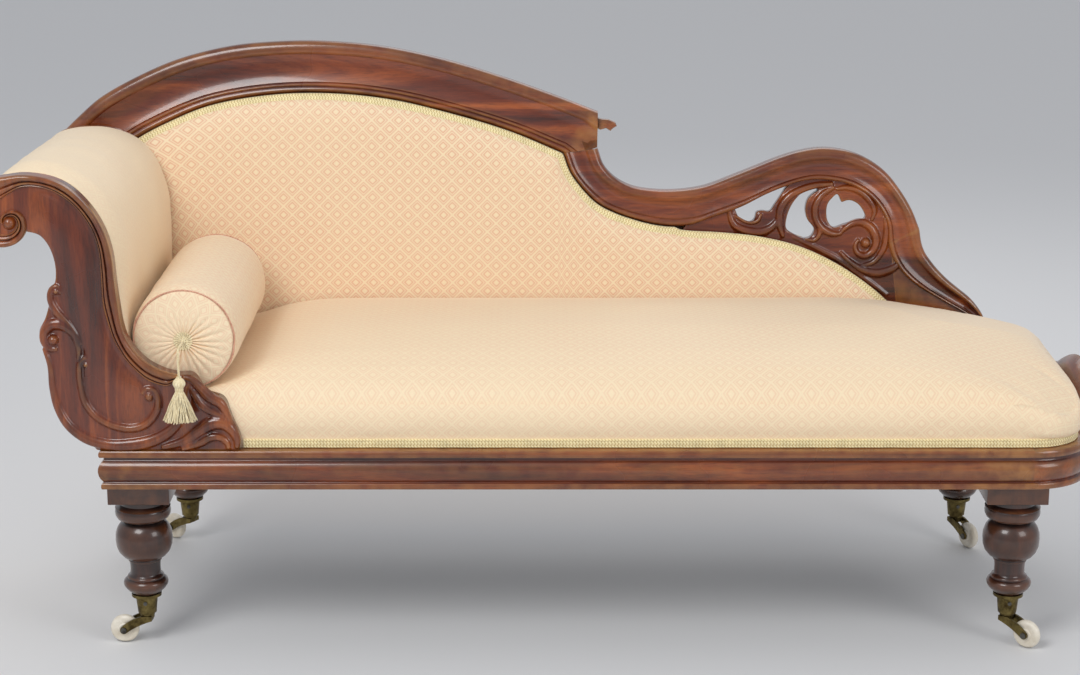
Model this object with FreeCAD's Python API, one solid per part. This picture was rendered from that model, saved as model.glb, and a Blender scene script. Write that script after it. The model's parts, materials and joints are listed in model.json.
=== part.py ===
# Victorian scroll-arm fainting couch on turned legs with swivelling castors.
# Millimetres. +X runs from the scroll arm (head) to the foot, +Y to the back, +Z up.
import FreeCAD
import Part
import math
import os

V = FreeCAD.Vector

# Places of the four legs, which everything else is measured from
head_leg_x = -679.0
leg_spacing = 1441.0
front_leg_y = -236.0
leg_depth_spacing = 500.0

# Seat frame
rail_bottom = 288.5
rail_height = 65.5
rail_overhang_front = 65.0
rail_overhang_back = 52.0
rail_overhang_head = 59.0
rail_overhang_foot = 129.0
moulding_depth = 20.0
front_rail_thickness = 28.0
back_rail_thickness = 40.0
head_rail_thickness = 22.0
foot_rail_thickness = 28.0
foot_corner_radius = 110.0
corner_block_size = 62.0
block_screw_radius = 2.5
block_screw_length = 30.0
screw_head_radius = 4.5
screw_head_height = 3.0
screw_spacing = 26.0
screw_inset = 22.0
screw_start_depth = 16.0
screw_height_share = 0.72

# Turned legs
plinth_width = 101.0
plinth_depth = 82.0
plinth_height = 33.5
tenon_radius = 11.0
tenon_length = 40.0
fit_clearance = 0.05
leg_foot_top = 90.0
leg_foot_bottom = 56.8

# Castors
cup_top = 89.0
cup_bottom = 54.0
cup_flange_radius = 24.8
cup_flange_height = 5.0
cup_top_radius = 18.4
cup_bottom_radius = 15.3
cup_wall = 2.0
cup_floor = 2.6
pintle_radius = 4.5
pintle_top = 78.0
pintle_bore_radius = 6.2
running_clearance = 0.05
fork_gap = 0.3
fork_crown_radius = 12.0
fork_crown_height = 13.0
fork_arm_thickness = 3.6
fork_eye_radius = 6.5
wheel_radius = 23.9
wheel_width = 18.0
wheel_edge_radius = 6.0
wheel_side_gap = 0.5
wheel_trail = 39.0
axle_radius = 3.0
axle_head_radius = 5.0
axle_head_height = 1.8
castor_screw_radius = 1.8
castor_screw_head = 3.2
castor_screw_z = 74.0
castor_headings = {"front_head": 178.0, "front_foot": -40.0, "back_head": 148.0, "back_foot": -61.0}

# Seat upholstery
cushion_inset = 20.0
gimp_thickness = 3.0
gimp_height = 18.0
webbing_thickness = 2.0
webbing_width = 50.0
webbing_overlap = 22.0
webbing_columns = 11
webbing_rows = 4
dust_cover_thickness = 1.2
spring_columns = 6
spring_rows = 3
spring_end_radius = 40.0
spring_waist_radius = 26.0
spring_wire_radius = 1.9
spring_turns = 5
seat_cavity_height = 50.0
seat_cavity_head_gap = 28.0
seat_cavity_foot_gap = 10.0
seat_cavity_front_gap = 6.0
seat_cavity_back_gap = 45.0
hessian_thickness = 2.0
soft_gap = 0.3
seat_head_height = 87.7
seat_crown = 147.0
seat_foot_overhang = 11.0
seat_front_overhang = 8.0
seat_hip_angle = 40.0
seat_hip_reach = 1800.0

# Back, which leans away from the seat about the rail top
back_rake = 5.0
back_leg_setback = 15.0
back_thickness = 45.0
rebate_depth = 3.0
rebate_width = 26.0
lip_root = 8.0
gimp_width = 13.0
back_pad_proud = 20.0
carving_setback = 9.0
carving_thickness = 22.0
post_setback = 8.0
dowel_radius = 5.0
dowel_length = 56.0
back_strap_width = 45.0
back_cover_thickness = 1.5

# Scroll arm
arm_face_offset = 58.0
arm_plank_thickness = 28.0
arm_moulding_relief = 7.0
arm_carving_relief = 6.0
arm_pad_thickness = 34.0
arm_cover_thickness = 3.0
arm_swell_depth = 60.0
arm_rear_shift = (6.0, -16.0)
tacking_rail_width = 30.0
tacking_rail_depth = 20.0

# Loose bolster with its tassel
bolster_radius = 88.0
bolster_rear_room = 79.7
bolster_offset_x = 82.0
bolster_end_bulge = 11.0
rosette_radius = 16.0
rosette_height = 8.0
tassel_cord_radius = 2.0
tassel_drop = 118.0
tassel_skirt_radius = 22.0
tassel_skirt_length = 55.0

# Carved crest on the foot rail
crest_length = 320.0
crest_height = 78.0
crest_lean = 38.0
crest_thickness = 18.0
crest_roll_radius = 13.0

# Levels and planes worked out from the sizes above
rail_top = rail_bottom + rail_height
foot_leg_x = head_leg_x + leg_spacing
back_leg_y = front_leg_y + leg_depth_spacing
front_edge = front_leg_y - rail_overhang_front
back_edge = back_leg_y + rail_overhang_back
head_edge = head_leg_x - rail_overhang_head
foot_edge = foot_leg_x + rail_overhang_foot
front_rail_face = front_edge + moulding_depth
front_rail_inner = front_rail_face + front_rail_thickness
back_rail_inner = back_edge - back_rail_thickness
head_rail_face = head_edge + moulding_depth
head_rail_inner = head_rail_face + head_rail_thickness
foot_rail_face = foot_edge - moulding_depth
foot_rail_inner = foot_rail_face - foot_rail_thickness
corner_x = foot_edge - foot_corner_radius
front_corner_y = front_edge + foot_corner_radius
back_corner_y = back_edge - foot_corner_radius
back_face_y = back_leg_y - back_leg_setback
arm_face_y = front_leg_y - arm_face_offset
arm_plank_back_y = arm_face_y + arm_plank_thickness
seat_mid_y = (front_edge + back_edge) / 2.0
seat_head_x = head_leg_x + 12.0
bolster_x = head_leg_x + bolster_offset_x
bolster_z = rail_top + seat_head_height + soft_gap + bolster_radius
bolster_front_y = arm_plank_back_y + soft_gap + bolster_end_bulge
bolster_back_y = back_face_y - bolster_rear_room
bolster_length = bolster_back_y - bolster_front_y
leg_places = {
    "front_head": (head_leg_x, front_leg_y),
    "front_foot": (foot_leg_x, front_leg_y),
    "back_head": (head_leg_x, back_leg_y),
    "back_foot": (foot_leg_x, back_leg_y),
}

# Outlines, as (along from the head legs' axis, up from the rail top)
arm_top_curve = [(-191, 450), (-156, 454), (-112, 447), (-82, 431), (-52, 399), (-32, 362), (-22, 323),
                 (-19, 284), (-16, 251), (-11, 210), (-3, 184), (21, 152), (51, 134), (76, 127)]
arm_inner_curve = [(73, 119), (60, 109), (44, 111), (26, 119), (11, 132), (-3, 147), (-15, 166), (-25, 186),
                   (-32, 210), (-39, 243), (-40, 292), (-42, 333), (-53, 369), (-80, 407), (-116, 430),
                   (-157, 434), (-193, 415)]
arm_volute_curve = [(-166, 364), (-177, 356), (-197, 344), (-210, 339), (-226, 341), (-239, 352),
                    (-248, 372), (-248, 394), (-240, 417), (-225, 434), (-207, 446), (-191, 450)]
arm_outside_curve = [(-60, 0), (-78, 22), (-98, 40), (-114, 60), (-124, 82), (-129, 106), (-129, 142),
                     (-138, 177), (-143, 199), (-132, 222), (-123, 251), (-113, 284), (-112, 304),
                     (-116, 326), (-124, 344), (-136, 357), (-166, 364)]
arm_leaf_curve = [(76, 127), (99, 126), (120, 97), (146, 86), (161, 55), (173, 22), (170, 0)]
arm_pad_front_curve = [(-212, 434), (-188, 452), (-154, 456), (-111, 449), (-80, 433), (-50, 400), (-30, 362),
                       (-20, 323), (-17, 284), (-14, 251), (-9, 210), (-6, 170), (-1, 130), (4, 96)]
arm_pad_swell_curve = [(-214, 430), (-188, 453), (-150, 462), (-109, 455), (-75, 438), (-42, 404), (-20, 362),
                       (-10, 323), (-8, 284), (-8, 251), (-8, 210), (-7, 170), (-1, 130), (4, 96)]
arm_pad_back_curve = [(-230, 410), (-204, 430), (-156, 440), (-106, 435), (-66, 417), (-37, 388), (-20, 352),
                      (-10, 312), (-8, 278), (-8, 244), (-8, 205), (-7, 168), (-1, 130), (4, 96)]
arm_cover_curve = [(-172, 372), (-134, 369), (-112, 350), (-100, 326), (-97, 300), (-100, 270), (-108, 240),
                   (-112, 190), (-110, 130), (-100, 80), (-72, 36), (-44, 4)]
top_outer_curve = [(-214, 418), (-175, 455), (-138, 486), (-65, 526), (8, 556), (99, 578), (180, 586),
                   (262, 587), (370, 578), (478, 556), (586, 524), (694, 486), (763, 459)]
top_inner_curve = [(700, 386), (604, 426), (495, 459), (387, 484), (278, 495), (170, 492), (61, 473),
                   (-13, 444), (-77, 410), (-160, 345)]
swept_outer_curve = [(762, 394), (773, 364), (794, 341), (826, 324), (867, 317), (913, 317), (958, 324),
                     (1004, 341), (1049, 359), (1094, 377), (1130, 388), (1170, 394), (1212, 390),
                     (1249, 377), (1286, 352), (1314, 319), (1337, 282), (1352, 246)]
swept_inner_curve = [(1296, 218), (1291, 260), (1265, 301), (1222, 328), (1168, 337), (1131, 333),
                     (1077, 313), (1023, 286), (968, 266), (932, 254), (895, 252), (859, 257), (826, 266),
                     (795, 277), (767, 291), (745, 310), (714, 350), (700, 386)]
bracket_curve = [(1352, 246), (1357, 219), (1364, 202), (1373, 189), (1387, 172), (1406, 153), (1428, 135),
                 (1447, 120), (1460, 106), (1470, 92), (1476, 80)]
panel_edge_curve = [(1312, 99), (1273, 135), (1207, 181), (1133, 216), (1060, 234), (987, 242), (932, 245)]
large_leaf_hole = [[(1014, 284), (1062, 314), (1122, 340)], [(1122, 340), (1096, 305), (1078, 279)],
                   [(1078, 279), (1054, 277), (1050, 264), (1038, 258), (1023, 266), (1014, 284)]]
crescent_hole = [[(1172, 321), (1146, 317), (1128, 304), (1116, 286), (1109, 264), (1109, 247)],
                 [(1109, 247), (1142, 229)], [(1142, 229), (1155, 233), (1160, 246)],
                 [(1160, 246), (1147, 264), (1143, 282), (1155, 310), (1172, 321)]]
loop_hole = [[(1209, 295), (1223, 299), (1238, 293), (1249, 280), (1253, 266)],
             [(1253, 266), (1233, 260), (1215, 255), (1195, 249)],
             [(1195, 249), (1182, 269), (1183, 293), (1201, 310)], [(1201, 310), (1209, 295)]]


def edge_through(points):
    """A line through 2 points, an arc through 3, a smooth curve through more."""
    if len(points) == 2:
        return Part.makeLine(points[0], points[1])
    if len(points) == 3:
        return Part.Arc(points[0], points[1], points[2]).toShape()
    curve = Part.BSplineCurve()
    curve.interpolate(points)
    return curve.toShape()


def closed_face(segments, place):
    """A face inside a ring of segments; gaps between them are closed with straight edges."""
    runs = [[place(p) for p in segment] for segment in segments]
    edges = []
    for i, run in enumerate(runs):
        edges.append(edge_through(run))
        following = runs[(i + 1) % len(runs)]
        if run[-1].distanceToPoint(following[0]) > 0.001:
            edges.append(Part.makeLine(run[-1], following[0]))
    return Part.Face(Part.Wire(edges))


def upright_slab(segments, front_y, back_y):
    """A plank cut to an outline in the XZ plane, from front_y to back_y."""
    face = closed_face(segments, lambda p: V(head_leg_x + p[0], front_y, rail_top + p[1]))
    return face.extrude(V(0, back_y - front_y, 0))


def level_slab(segments, bottom, top):
    """A board cut to an outline in the XY plane, from bottom to top."""
    face = closed_face(segments, lambda p: V(p[0], p[1], bottom))
    return face.extrude(V(0, 0, top - bottom))


def turned(segments, x=0.0, y=0.0):
    """A solid turned about the vertical through x, y from a half outline of (radius, height)."""
    face = closed_face(segments, lambda p: V(x + p[0], y, p[1]))
    return face.revolve(V(x, y, 0), V(0, 0, 1), 360)


def box(x0, x1, y0, y1, z0, z1):
    return Part.makeBox(x1 - x0, y1 - y0, z1 - z0, V(x0, y0, z0))


def pin(radius, length, start, direction):
    return Part.makeCylinder(radius, length, start, direction)


def offset_points(points, distance):
    """Points moved square to the line that they make, to its left for a positive distance."""
    moved = []
    for i, point in enumerate(points):
        before = points[max(i - 1, 0)]
        after = points[min(i + 1, len(points) - 1)]
        along = (after[0] - before[0], after[1] - before[1])
        size = math.hypot(along[0], along[1])
        moved.append((point[0] - along[1] / size * distance, point[1] + along[0] / size * distance))
    return moved


def leaned(shape):
    """The shape tipped back with the couch's back, about the rail top."""
    result = shape.copy()
    result.rotate(V(0, back_face_y, rail_top), V(1, 0, 0), -back_rake)
    return result


def above_rail(shape):
    """The shape cut level with the top of the seat rails, so that it stands on them."""
    size = 3000.0
    return shape.cut(box(-size, size, -size, size, -size, rail_top))


def solid_nearest(shape, point):
    """The one solid of a cut shape that lies nearest to a point."""
    target = Part.Vertex(point)
    return min(shape.Solids, key=lambda s: s.distToShape(target)[0])


def save(name, solids):
    """Writes one named piece, or a group of like pieces, to its own file."""
    parts = solids if isinstance(solids, list) else [solids]
    shape = parts[0] if len(parts) == 1 else Part.makeCompound(parts)
    shape.exportStep("parts/" + name + ".step")


# Seat frame: four rails, their moulding, and blocks that the legs are dowelled into

def moulding_section(place):
    """The rail moulding's section: fillet, quirk, torus, hollow and top bead."""
    low = rail_bottom
    return closed_face([
        [(0.0, low), (15.0, low)],
        [(15.0, low), (16.5, low + 5.0), (15.0, low + 10.5)],
        [(15.0, low + 10.5), (12.5, low + 12.5)],
        [(12.5, low + 12.5), (moulding_depth, low + 32.0), (12.5, low + 52.5)],
        [(12.5, low + 52.5), (10.0, low + 55.0), (12.5, low + 57.5)],
        [(12.5, low + 57.5), (18.0, low + 61.5), (14.0, rail_top)],
        [(14.0, rail_top), (0.0, rail_top)],
    ], place)


def front_moulding():
    section = moulding_section(lambda p: V(head_edge, front_rail_face - p[0], p[1]))
    solid = section.extrude(V(corner_x - head_edge, 0, 0))
    return solid.cut(head_mitre(front_rail_face))


def head_mitre(face_y):
    """What the head return takes off the front moulding, beyond their mitred corner."""
    tip = moulding_depth + 5.0
    corner = (head_rail_face, face_y)
    outline = [[corner, (corner[0] - tip, corner[1] - tip)],
               [(corner[0] - tip, corner[1] - tip), (corner[0] - tip, corner[1])],
               [(corner[0] - tip, corner[1]), corner]]
    return level_slab(outline, rail_bottom - 1, rail_top + 1)


def head_moulding():
    section = moulding_section(lambda p: V(head_rail_face - p[0], front_edge, p[1]))
    solid = section.extrude(V(0, back_edge - front_edge, 0))
    tip = moulding_depth + 5.0
    corner = (head_rail_face, front_rail_face)
    outline = [[corner, (corner[0] - tip, corner[1] - tip)],
               [(corner[0] - tip, corner[1] - tip), (corner[0] + 1, corner[1] - tip)],
               [(corner[0] + 1, corner[1] - tip), corner]]
    return solid.cut(level_slab(outline, rail_bottom - 1, rail_top + 1))


def foot_moulding():
    """The moulding round the foot: two quarter turns joined by a straight run."""
    rail_radius = foot_corner_radius - moulding_depth
    turn = moulding_section(lambda p: V(corner_x, front_corner_y - rail_radius - p[0], p[1]))
    front = turn.revolve(V(corner_x, front_corner_y, 0), V(0, 0, 1), 90)
    run = moulding_section(lambda p: V(foot_rail_face + p[0], front_corner_y, p[1]))
    straight = run.extrude(V(0, back_corner_y - front_corner_y, 0))
    turn = moulding_section(lambda p: V(foot_rail_face + p[0], back_corner_y, p[1]))
    back = turn.revolve(V(corner_x, back_corner_y, 0), V(0, 0, 1), 90)
    return front.fuse([straight, back]).removeSplitter()


def corner_blocks():
    """Blocks inside the corners; each has a bore for its leg's tenon."""
    size = corner_block_size
    head_side = head_rail_inner
    blocks = [
        box(head_side, head_leg_x + size, front_rail_inner, front_leg_y + size, rail_bottom, rail_top),
        box(head_side, head_leg_x + size, back_leg_y - size, back_rail_inner, rail_bottom, rail_top),
    ]
    bow = foot_corner_radius - moulding_depth
    diagonal = bow * math.sqrt(0.5)
    for side, y_corner, y_rail, y_face in ((-1, front_corner_y, front_rail_inner, front_rail_face),
                                           (1, back_corner_y, back_rail_inner, back_edge - moulding_depth)):
        inner_y = y_corner + side * (bow - size) * 0.5
        outline = [[(corner_x, y_face), (corner_x + diagonal, y_corner + side * diagonal),
                    (foot_rail_face, y_corner)],
                   [(foot_rail_face, y_corner), (foot_rail_inner, y_corner)],
                   [(foot_rail_inner, y_corner), (foot_rail_inner, inner_y)],
                   [(foot_rail_inner, inner_y), (foot_leg_x - size, inner_y)],
                   [(foot_leg_x - size, inner_y), (foot_leg_x - size, y_rail)],
                   [(foot_leg_x - size, y_rail), (corner_x, y_rail)],
                   [(corner_x, y_rail), (corner_x, y_face)]]
        blocks.append(level_slab(outline, rail_bottom, rail_top))
    bores = []
    for x, y in leg_places.values():
        bores.append(pin(tenon_radius + fit_clearance, tenon_length + 1.0, V(x, y, rail_bottom), V(0, 0, 1)))
    return [block.cut(bores) for block in blocks]


def block_screw_places():
    """Start points and directions of the screws that hold the blocks to the rails."""
    places = []
    height = rail_bottom + rail_height * screw_height_share
    for x in (head_leg_x, foot_leg_x):
        for step in (-0.5, 0.5):
            inwards = screw_inset if x == head_leg_x else -screw_inset
            along = x + inwards + step * screw_spacing
            places.append((V(along, front_rail_inner - screw_start_depth, height), V(0, 1, 0)))
            places.append((V(along, back_rail_inner + screw_start_depth, height), V(0, -1, 0)))
    return places


def block_screw(start, direction, clearance):
    """A countersunk wood screw, or with a clearance, the hole that it sits in."""
    shank = pin(block_screw_radius + clearance, block_screw_length, start, direction)
    base = start + direction * (block_screw_length - screw_head_height)
    head = Part.makeCone(block_screw_radius + clearance, screw_head_radius + clearance, screw_head_height,
                         base, direction)
    return shank.fuse(head)


# Turned legs

def leg(x, y):
    """A leg: square plinth with a tenon above, and a turned baluster that ends in the castor cup."""
    shoulder = rail_bottom - plinth_height
    wide = plinth_width / 2.0
    deep = plinth_depth / 2.0
    plinth = box(x - wide, x + wide, y - deep, y + deep, shoulder, rail_bottom)
    tenon = pin(tenon_radius, tenon_length, V(x, y, rail_bottom), V(0, 0, 1))
    foot_top_radius = cup_top_radius - cup_wall - fit_clearance
    foot_radius = cup_bottom_radius - cup_wall - fit_clearance
    body = turned([
        [(0.0, leg_foot_bottom), (foot_radius, leg_foot_bottom)],
        [(foot_radius, leg_foot_bottom), (foot_top_radius, leg_foot_top)],
        [(foot_top_radius, leg_foot_top), (23.0, leg_foot_top)],
        [(23.0, leg_foot_top), (30.0, 96.0)],
        [(30.0, 96.0), (36.9, 106.5), (31.0, 116.0)],
        [(31.0, 116.0), (26.5, 121.5)],
        [(26.5, 121.5), (24.9, 132.0), (26.0, 146.5)],
        [(26.0, 146.5), (28.0, 148.0)],
        [(28.0, 148.0), (28.0, 151.0)],
        [(28.0, 151.0), (36.5, 156.5), (43.6, 166.0), (47.0, 184.0), (44.4, 202.0), (38.0, 212.5), (31.5, 217.0)],
        [(31.5, 217.0), (38.0, 220.5)],
        [(38.0, 220.5), (46.0, 233.0), (40.0, 246.0)],
        [(40.0, 246.0), (38.0, shoulder)],
        [(38.0, shoulder), (0.0, shoulder)],
    ], x, y)
    bore = pin(pintle_bore_radius, pintle_top + 2.0 - leg_foot_bottom, V(x, y, leg_foot_bottom), V(0, 0, 1))
    return plinth.fuse([tenon, body]).removeSplitter().cut(bore)


# Castors: a brass cup on the leg, a fork that swivels in it and a ceramic wheel on its axle

def castor_screw(x, y, clearance):
    """The small screw that pins the cup to the leg, or with a clearance, its hole."""
    reach = cup_bottom_radius + 1.0
    shank = pin(castor_screw_radius + clearance, 12.0, V(x, y - reach - 2.0, castor_screw_z), V(0, 1, 0))
    head = pin(castor_screw_head, 1.5, V(x, y - cup_top_radius - 0.9, castor_screw_z), V(0, 1, 0))
    return shank if clearance > 0.0 else shank.fuse(head)


def castor_cup(x, y):
    """The cup: a flange over a tapered shell, with a floor that the pintle turns in."""
    inner_top = cup_top_radius - cup_wall
    inner_bottom = cup_bottom_radius - cup_wall
    floor = cup_bottom + cup_floor
    flange_low = cup_top - cup_flange_height
    cup = turned([
        [(pintle_radius + running_clearance, cup_bottom), (cup_bottom_radius, cup_bottom)],
        [(cup_bottom_radius, cup_bottom), (cup_top_radius, flange_low)],
        [(cup_top_radius, flange_low), (cup_flange_radius, flange_low)],
        [(cup_flange_radius, flange_low), (cup_flange_radius, cup_top)],
        [(cup_flange_radius, cup_top), (inner_top, cup_top)],
        [(inner_top, cup_top), (inner_bottom, floor)],
        [(inner_bottom, floor), (pintle_radius + running_clearance, floor)],
        [(pintle_radius + running_clearance, floor), (pintle_radius + running_clearance, cup_bottom)],
    ], x, y)
    return cup


def castor_fork(x, y, heading):
    """The fork: a pintle and crown on the leg's axis, and two horns down to the trailing axle."""
    crown_top = cup_bottom - fork_gap
    crown_low = crown_top - fork_crown_height
    cheek_inner = wheel_width / 2.0 + wheel_side_gap
    cheek_outer = cheek_inner + fork_arm_thickness
    pintle = turned([
        [(0.0, crown_top - 1.0), (pintle_radius, crown_top - 1.0)],
        [(pintle_radius, crown_top - 1.0), (pintle_radius, pintle_top - 4.0)],
        [(pintle_radius, pintle_top - 4.0), (pintle_radius - 1.0, pintle_top)],
        [(pintle_radius - 1.0, pintle_top), (0.0, pintle_top)],
    ])
    head = turned([
        [(0.0, cup_bottom + cup_floor + 0.1), (pintle_radius + 1.0, cup_bottom + cup_floor + 0.1)],
        [(pintle_radius + 1.0, cup_bottom + cup_floor + 0.1), (pintle_radius + 1.0, cup_bottom + 5.0)],
        [(pintle_radius + 1.0, cup_bottom + 5.0), (0.0, cup_bottom + 5.0)],
    ])
    crown = turned([
        [(0.0, crown_low), (fork_crown_radius * 0.8, crown_low)],
        [(fork_crown_radius * 0.8, crown_low), (fork_crown_radius, crown_top - 4.0)],
        [(fork_crown_radius, crown_top - 4.0), (fork_crown_radius, crown_top)],
        [(fork_crown_radius, crown_top), (0.0, crown_top)],
    ])
    bridge = box(-9.0, 9.0, -cheek_outer, cheek_outer, crown_low, crown_low + 8.0)
    pieces = [pintle, head, crown, bridge]
    horn_outline = [
        [(-9.0, crown_low + 8.0), (8.0, crown_low + 8.0)],
        [(8.0, crown_low + 8.0), (24.0, crown_low + 2.0), (wheel_trail + 4.0, wheel_radius + 5.0)],
        [(wheel_trail + 4.0, wheel_radius + 5.0), (wheel_trail - 4.0, wheel_radius - 5.0)],
        [(wheel_trail - 4.0, wheel_radius - 5.0), (12.0, crown_low - 8.0), (-9.0, crown_low)],
    ]
    for side in (-1, 1):
        near = side * cheek_inner
        far = side * cheek_outer
        face = closed_face(horn_outline, lambda p: V(p[0], near, p[1]))
        pieces.append(face.extrude(V(0, far - near, 0)))
        pieces.append(pin(fork_eye_radius, fork_arm_thickness, V(wheel_trail, near, wheel_radius),
                          V(0, side, 0)))
    fork = pieces[0].fuse(pieces[1:]).removeSplitter()
    hole_start = V(wheel_trail, -cheek_outer - 1.0, wheel_radius)
    fork = fork.cut(pin(axle_radius, 2.0 * cheek_outer + 2.0, hole_start, V(0, 1, 0)))
    return trailed(fork, x, y, heading)


def castor_wheel(x, y, heading):
    """The wheel: a ceramic disc with round edges, a raised hub and a bore."""
    half = wheel_width / 2.0
    edge = wheel_edge_radius
    bore = axle_radius + running_clearance
    rim = wheel_radius
    diagonal = edge * math.sqrt(0.5)
    wheel = turned([
        [(bore, -half), (9.0, -half)],
        [(9.0, -half), (11.0, -half + 2.0)],
        [(11.0, -half + 2.0), (rim - edge, -half + 2.0)],
        [(rim - edge, -half + 2.0), (rim - edge + diagonal, -half + 2.0 + edge - diagonal),
         (rim, -half + 2.0 + edge)],
        [(rim, -half + 2.0 + edge), (rim, half - 2.0 - edge)],
        [(rim, half - 2.0 - edge), (rim - edge + diagonal, half - 2.0 - edge + diagonal),
         (rim - edge, half - 2.0)],
        [(rim - edge, half - 2.0), (11.0, half - 2.0)],
        [(11.0, half - 2.0), (9.0, half)],
        [(9.0, half), (bore, half)],
        [(bore, half), (bore, -half)],
    ])
    wheel.rotate(V(0, 0, 0), V(1, 0, 0), 90)
    wheel.translate(V(wheel_trail, 0, wheel_radius))
    return trailed(wheel, x, y, heading)


def castor_axle(x, y, heading):
    """The axle: a pin riveted over both horns of the fork."""
    reach = wheel_width / 2.0 + wheel_side_gap + fork_arm_thickness
    axle = pin(axle_radius, 2.0 * reach, V(wheel_trail, -reach, wheel_radius), V(0, 1, 0))
    heads = []
    for side in (-1, 1):
        heads.append(pin(axle_head_radius, axle_head_height, V(wheel_trail, side * reach, wheel_radius),
                         V(0, side, 0)))
    return trailed(axle.fuse(heads), x, y, heading)


def trailed(shape, x, y, heading):
    """A castor piece turned to its heading and set under its leg."""
    result = shape.copy()
    result.rotate(V(0, 0, 0), V(0, 0, 1), heading)
    result.translate(V(x, y, 0))
    return result


# Seat upholstery: webbing, springs, hessian, stuffed pad, gimp and the cloth underneath

def seat_plan(inset, start):
    """The seat's outline in plan, a distance inside the frame's outer edge, from a head-end line."""
    radius = foot_corner_radius - inset
    diagonal = radius * math.sqrt(0.5)
    near = front_edge + inset
    far = back_edge - inset
    return [[(start, near), (corner_x, near)],
            [(corner_x, near), (corner_x + diagonal, front_corner_y - diagonal), (foot_edge - inset, front_corner_y)],
            [(foot_edge - inset, front_corner_y), (foot_edge - inset, back_corner_y)],
            [(foot_edge - inset, back_corner_y), (corner_x + diagonal, back_corner_y + diagonal), (corner_x, far)],
            [(corner_x, far), (start, far)],
            [(start, far), (start, near)]]


def seat_cavity():
    """The room under the stuffing for the springs."""
    return box(seat_head_x + seat_cavity_head_gap, foot_rail_inner - seat_cavity_foot_gap,
               front_rail_inner + seat_cavity_front_gap, back_rail_inner - seat_cavity_back_gap,
               rail_top - 1.0, rail_top + seat_cavity_height)


def seat_back_y():
    """Where the seat stuffing ends against the back's padding."""
    return back_face_y - back_pad_proud - 3.0


def under_profile(segments, angle):
    """What lies under a long roof: its profile is (distance from the origin in plan, height over the rail)."""
    way = V(math.cos(math.radians(angle)), math.sin(math.radians(angle)), 0)
    across = V(-way.y, way.x, 0)
    size = 4000.0
    face = closed_face(segments, lambda p: way * p[0] - across * (size / 2.0) + V(0, 0, rail_top + p[1]))
    return face.extrude(across * size)


def seat_pad():
    """The stuffed seat: crowned from front to back, domed down at the foot, and swelling over its braid."""
    inner = cushion_inset + gimp_thickness
    front = front_edge + inner
    back = seat_back_y()
    foot = foot_edge - inner
    rear = back_edge - inner
    depth = back - front
    crown = seat_crown
    brim = gimp_height + 2.0 * soft_gap
    ahead = front - seat_front_overhang
    beyond = foot + seat_foot_overhang
    across = under_profile([
        [(front, soft_gap), (front, brim)],
        [(front, brim), (ahead + 2.0, 28.0), (ahead, 44.0), (ahead + 6.0, 66.0), (front + 24.0, 100.0),
         (front + 0.2 * depth, 130.0), (front + 0.42 * depth, crown), (front + 0.66 * depth, 143.0),
         (front + 0.87 * depth, 126.0), (back, 108.0), (rear - 20.0, 66.0), (rear, brim)],
        [(rear, brim), (rear, soft_gap)],
        [(rear, soft_gap), (front, soft_gap)],
    ], 90.0)
    start = seat_head_x
    level = seat_head_height
    along = under_profile([
        [(start, soft_gap), (start, level)],
        [(start, level), (start + 100.0, level)],
        [(start + 100.0, level), (start + 138.0, 100.0), (start + 190.0, 117.0), (start + 290.0, 136.0),
         (start + 490.0, 145.0), (start + 760.0, crown), (foot - 370.0, crown), (foot - 200.0, 140.0),
         (foot - 130.0, 131.0), (foot - 80.0, 120.0), (foot - 45.0, 108.0), (foot - 18.0, 93.0),
         (beyond - 8.0, 74.0), (beyond, 46.0), (beyond - 4.0, 29.0), (foot, brim)],
        [(foot, brim), (foot, soft_gap)],
        [(foot, soft_gap), (start, soft_gap)],
    ], 0.0)
    pad = across.common(along)
    for side, centre_y in ((-1, front_corner_y), (1, back_corner_y)):
        turn = math.radians(seat_hip_angle)
        reach = corner_x * math.cos(turn) + side * centre_y * math.sin(turn) + foot_corner_radius - 5.0
        hip = under_profile([
            [(reach - seat_hip_reach, soft_gap), (reach - seat_hip_reach, 160.0)],
            [(reach - seat_hip_reach, 160.0), (reach - 370.0, 160.0)],
            [(reach - 370.0, 160.0), (reach - 300.0, 137.0), (reach - 245.0, 126.0), (reach - 190.0, 114.0),
             (reach - 135.0, 102.0), (reach - 100.0, 93.0), (reach - 60.0, 78.0), (reach - 28.0, 58.0),
             (reach - 8.0, 36.0), (reach, brim)],
            [(reach, brim), (reach, soft_gap)],
            [(reach, soft_gap), (reach - seat_hip_reach, soft_gap)],
        ], side * seat_hip_angle)
        pad = pad.common(hip)
    foot_part = level_slab(seat_plan(inner, seat_head_x), rail_top, rail_top + brim)
    swollen = level_slab(seat_plan(inner - seat_foot_overhang, seat_head_x), rail_top + brim, rail_top + 200.0)
    pad = pad.common(foot_part.fuse(swollen))
    arm_room = box(head_leg_x, head_leg_x + 174.0, front_edge, arm_plank_back_y + soft_gap, rail_top,
                   rail_top + 200.0)
    return pad.cut([seat_cavity(), arm_room, back_room()])


def back_room():
    """The room behind the seat stuffing that the back stands in, up to its foot bracket."""
    return box(head_leg_x, head_leg_x + bracket_curve[-1][0] + 2.0, seat_back_y(), back_edge + 1.0,
               rail_top - 1.0, rail_top + 300.0)


def seat_gimp():
    """The woven braid round the foot of the seat cover."""
    outer = level_slab(seat_plan(cushion_inset, seat_head_x), rail_top, rail_top + gimp_height)
    inner = level_slab(seat_plan(cushion_inset + gimp_thickness, seat_head_x), rail_top - 1.0,
                       rail_top + 200.0)
    beyond = box(head_leg_x, head_leg_x + 176.0, front_edge, back_edge, rail_top - 1.0, rail_top + 200.0)
    return outer.cut([inner, beyond, back_room()])


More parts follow.
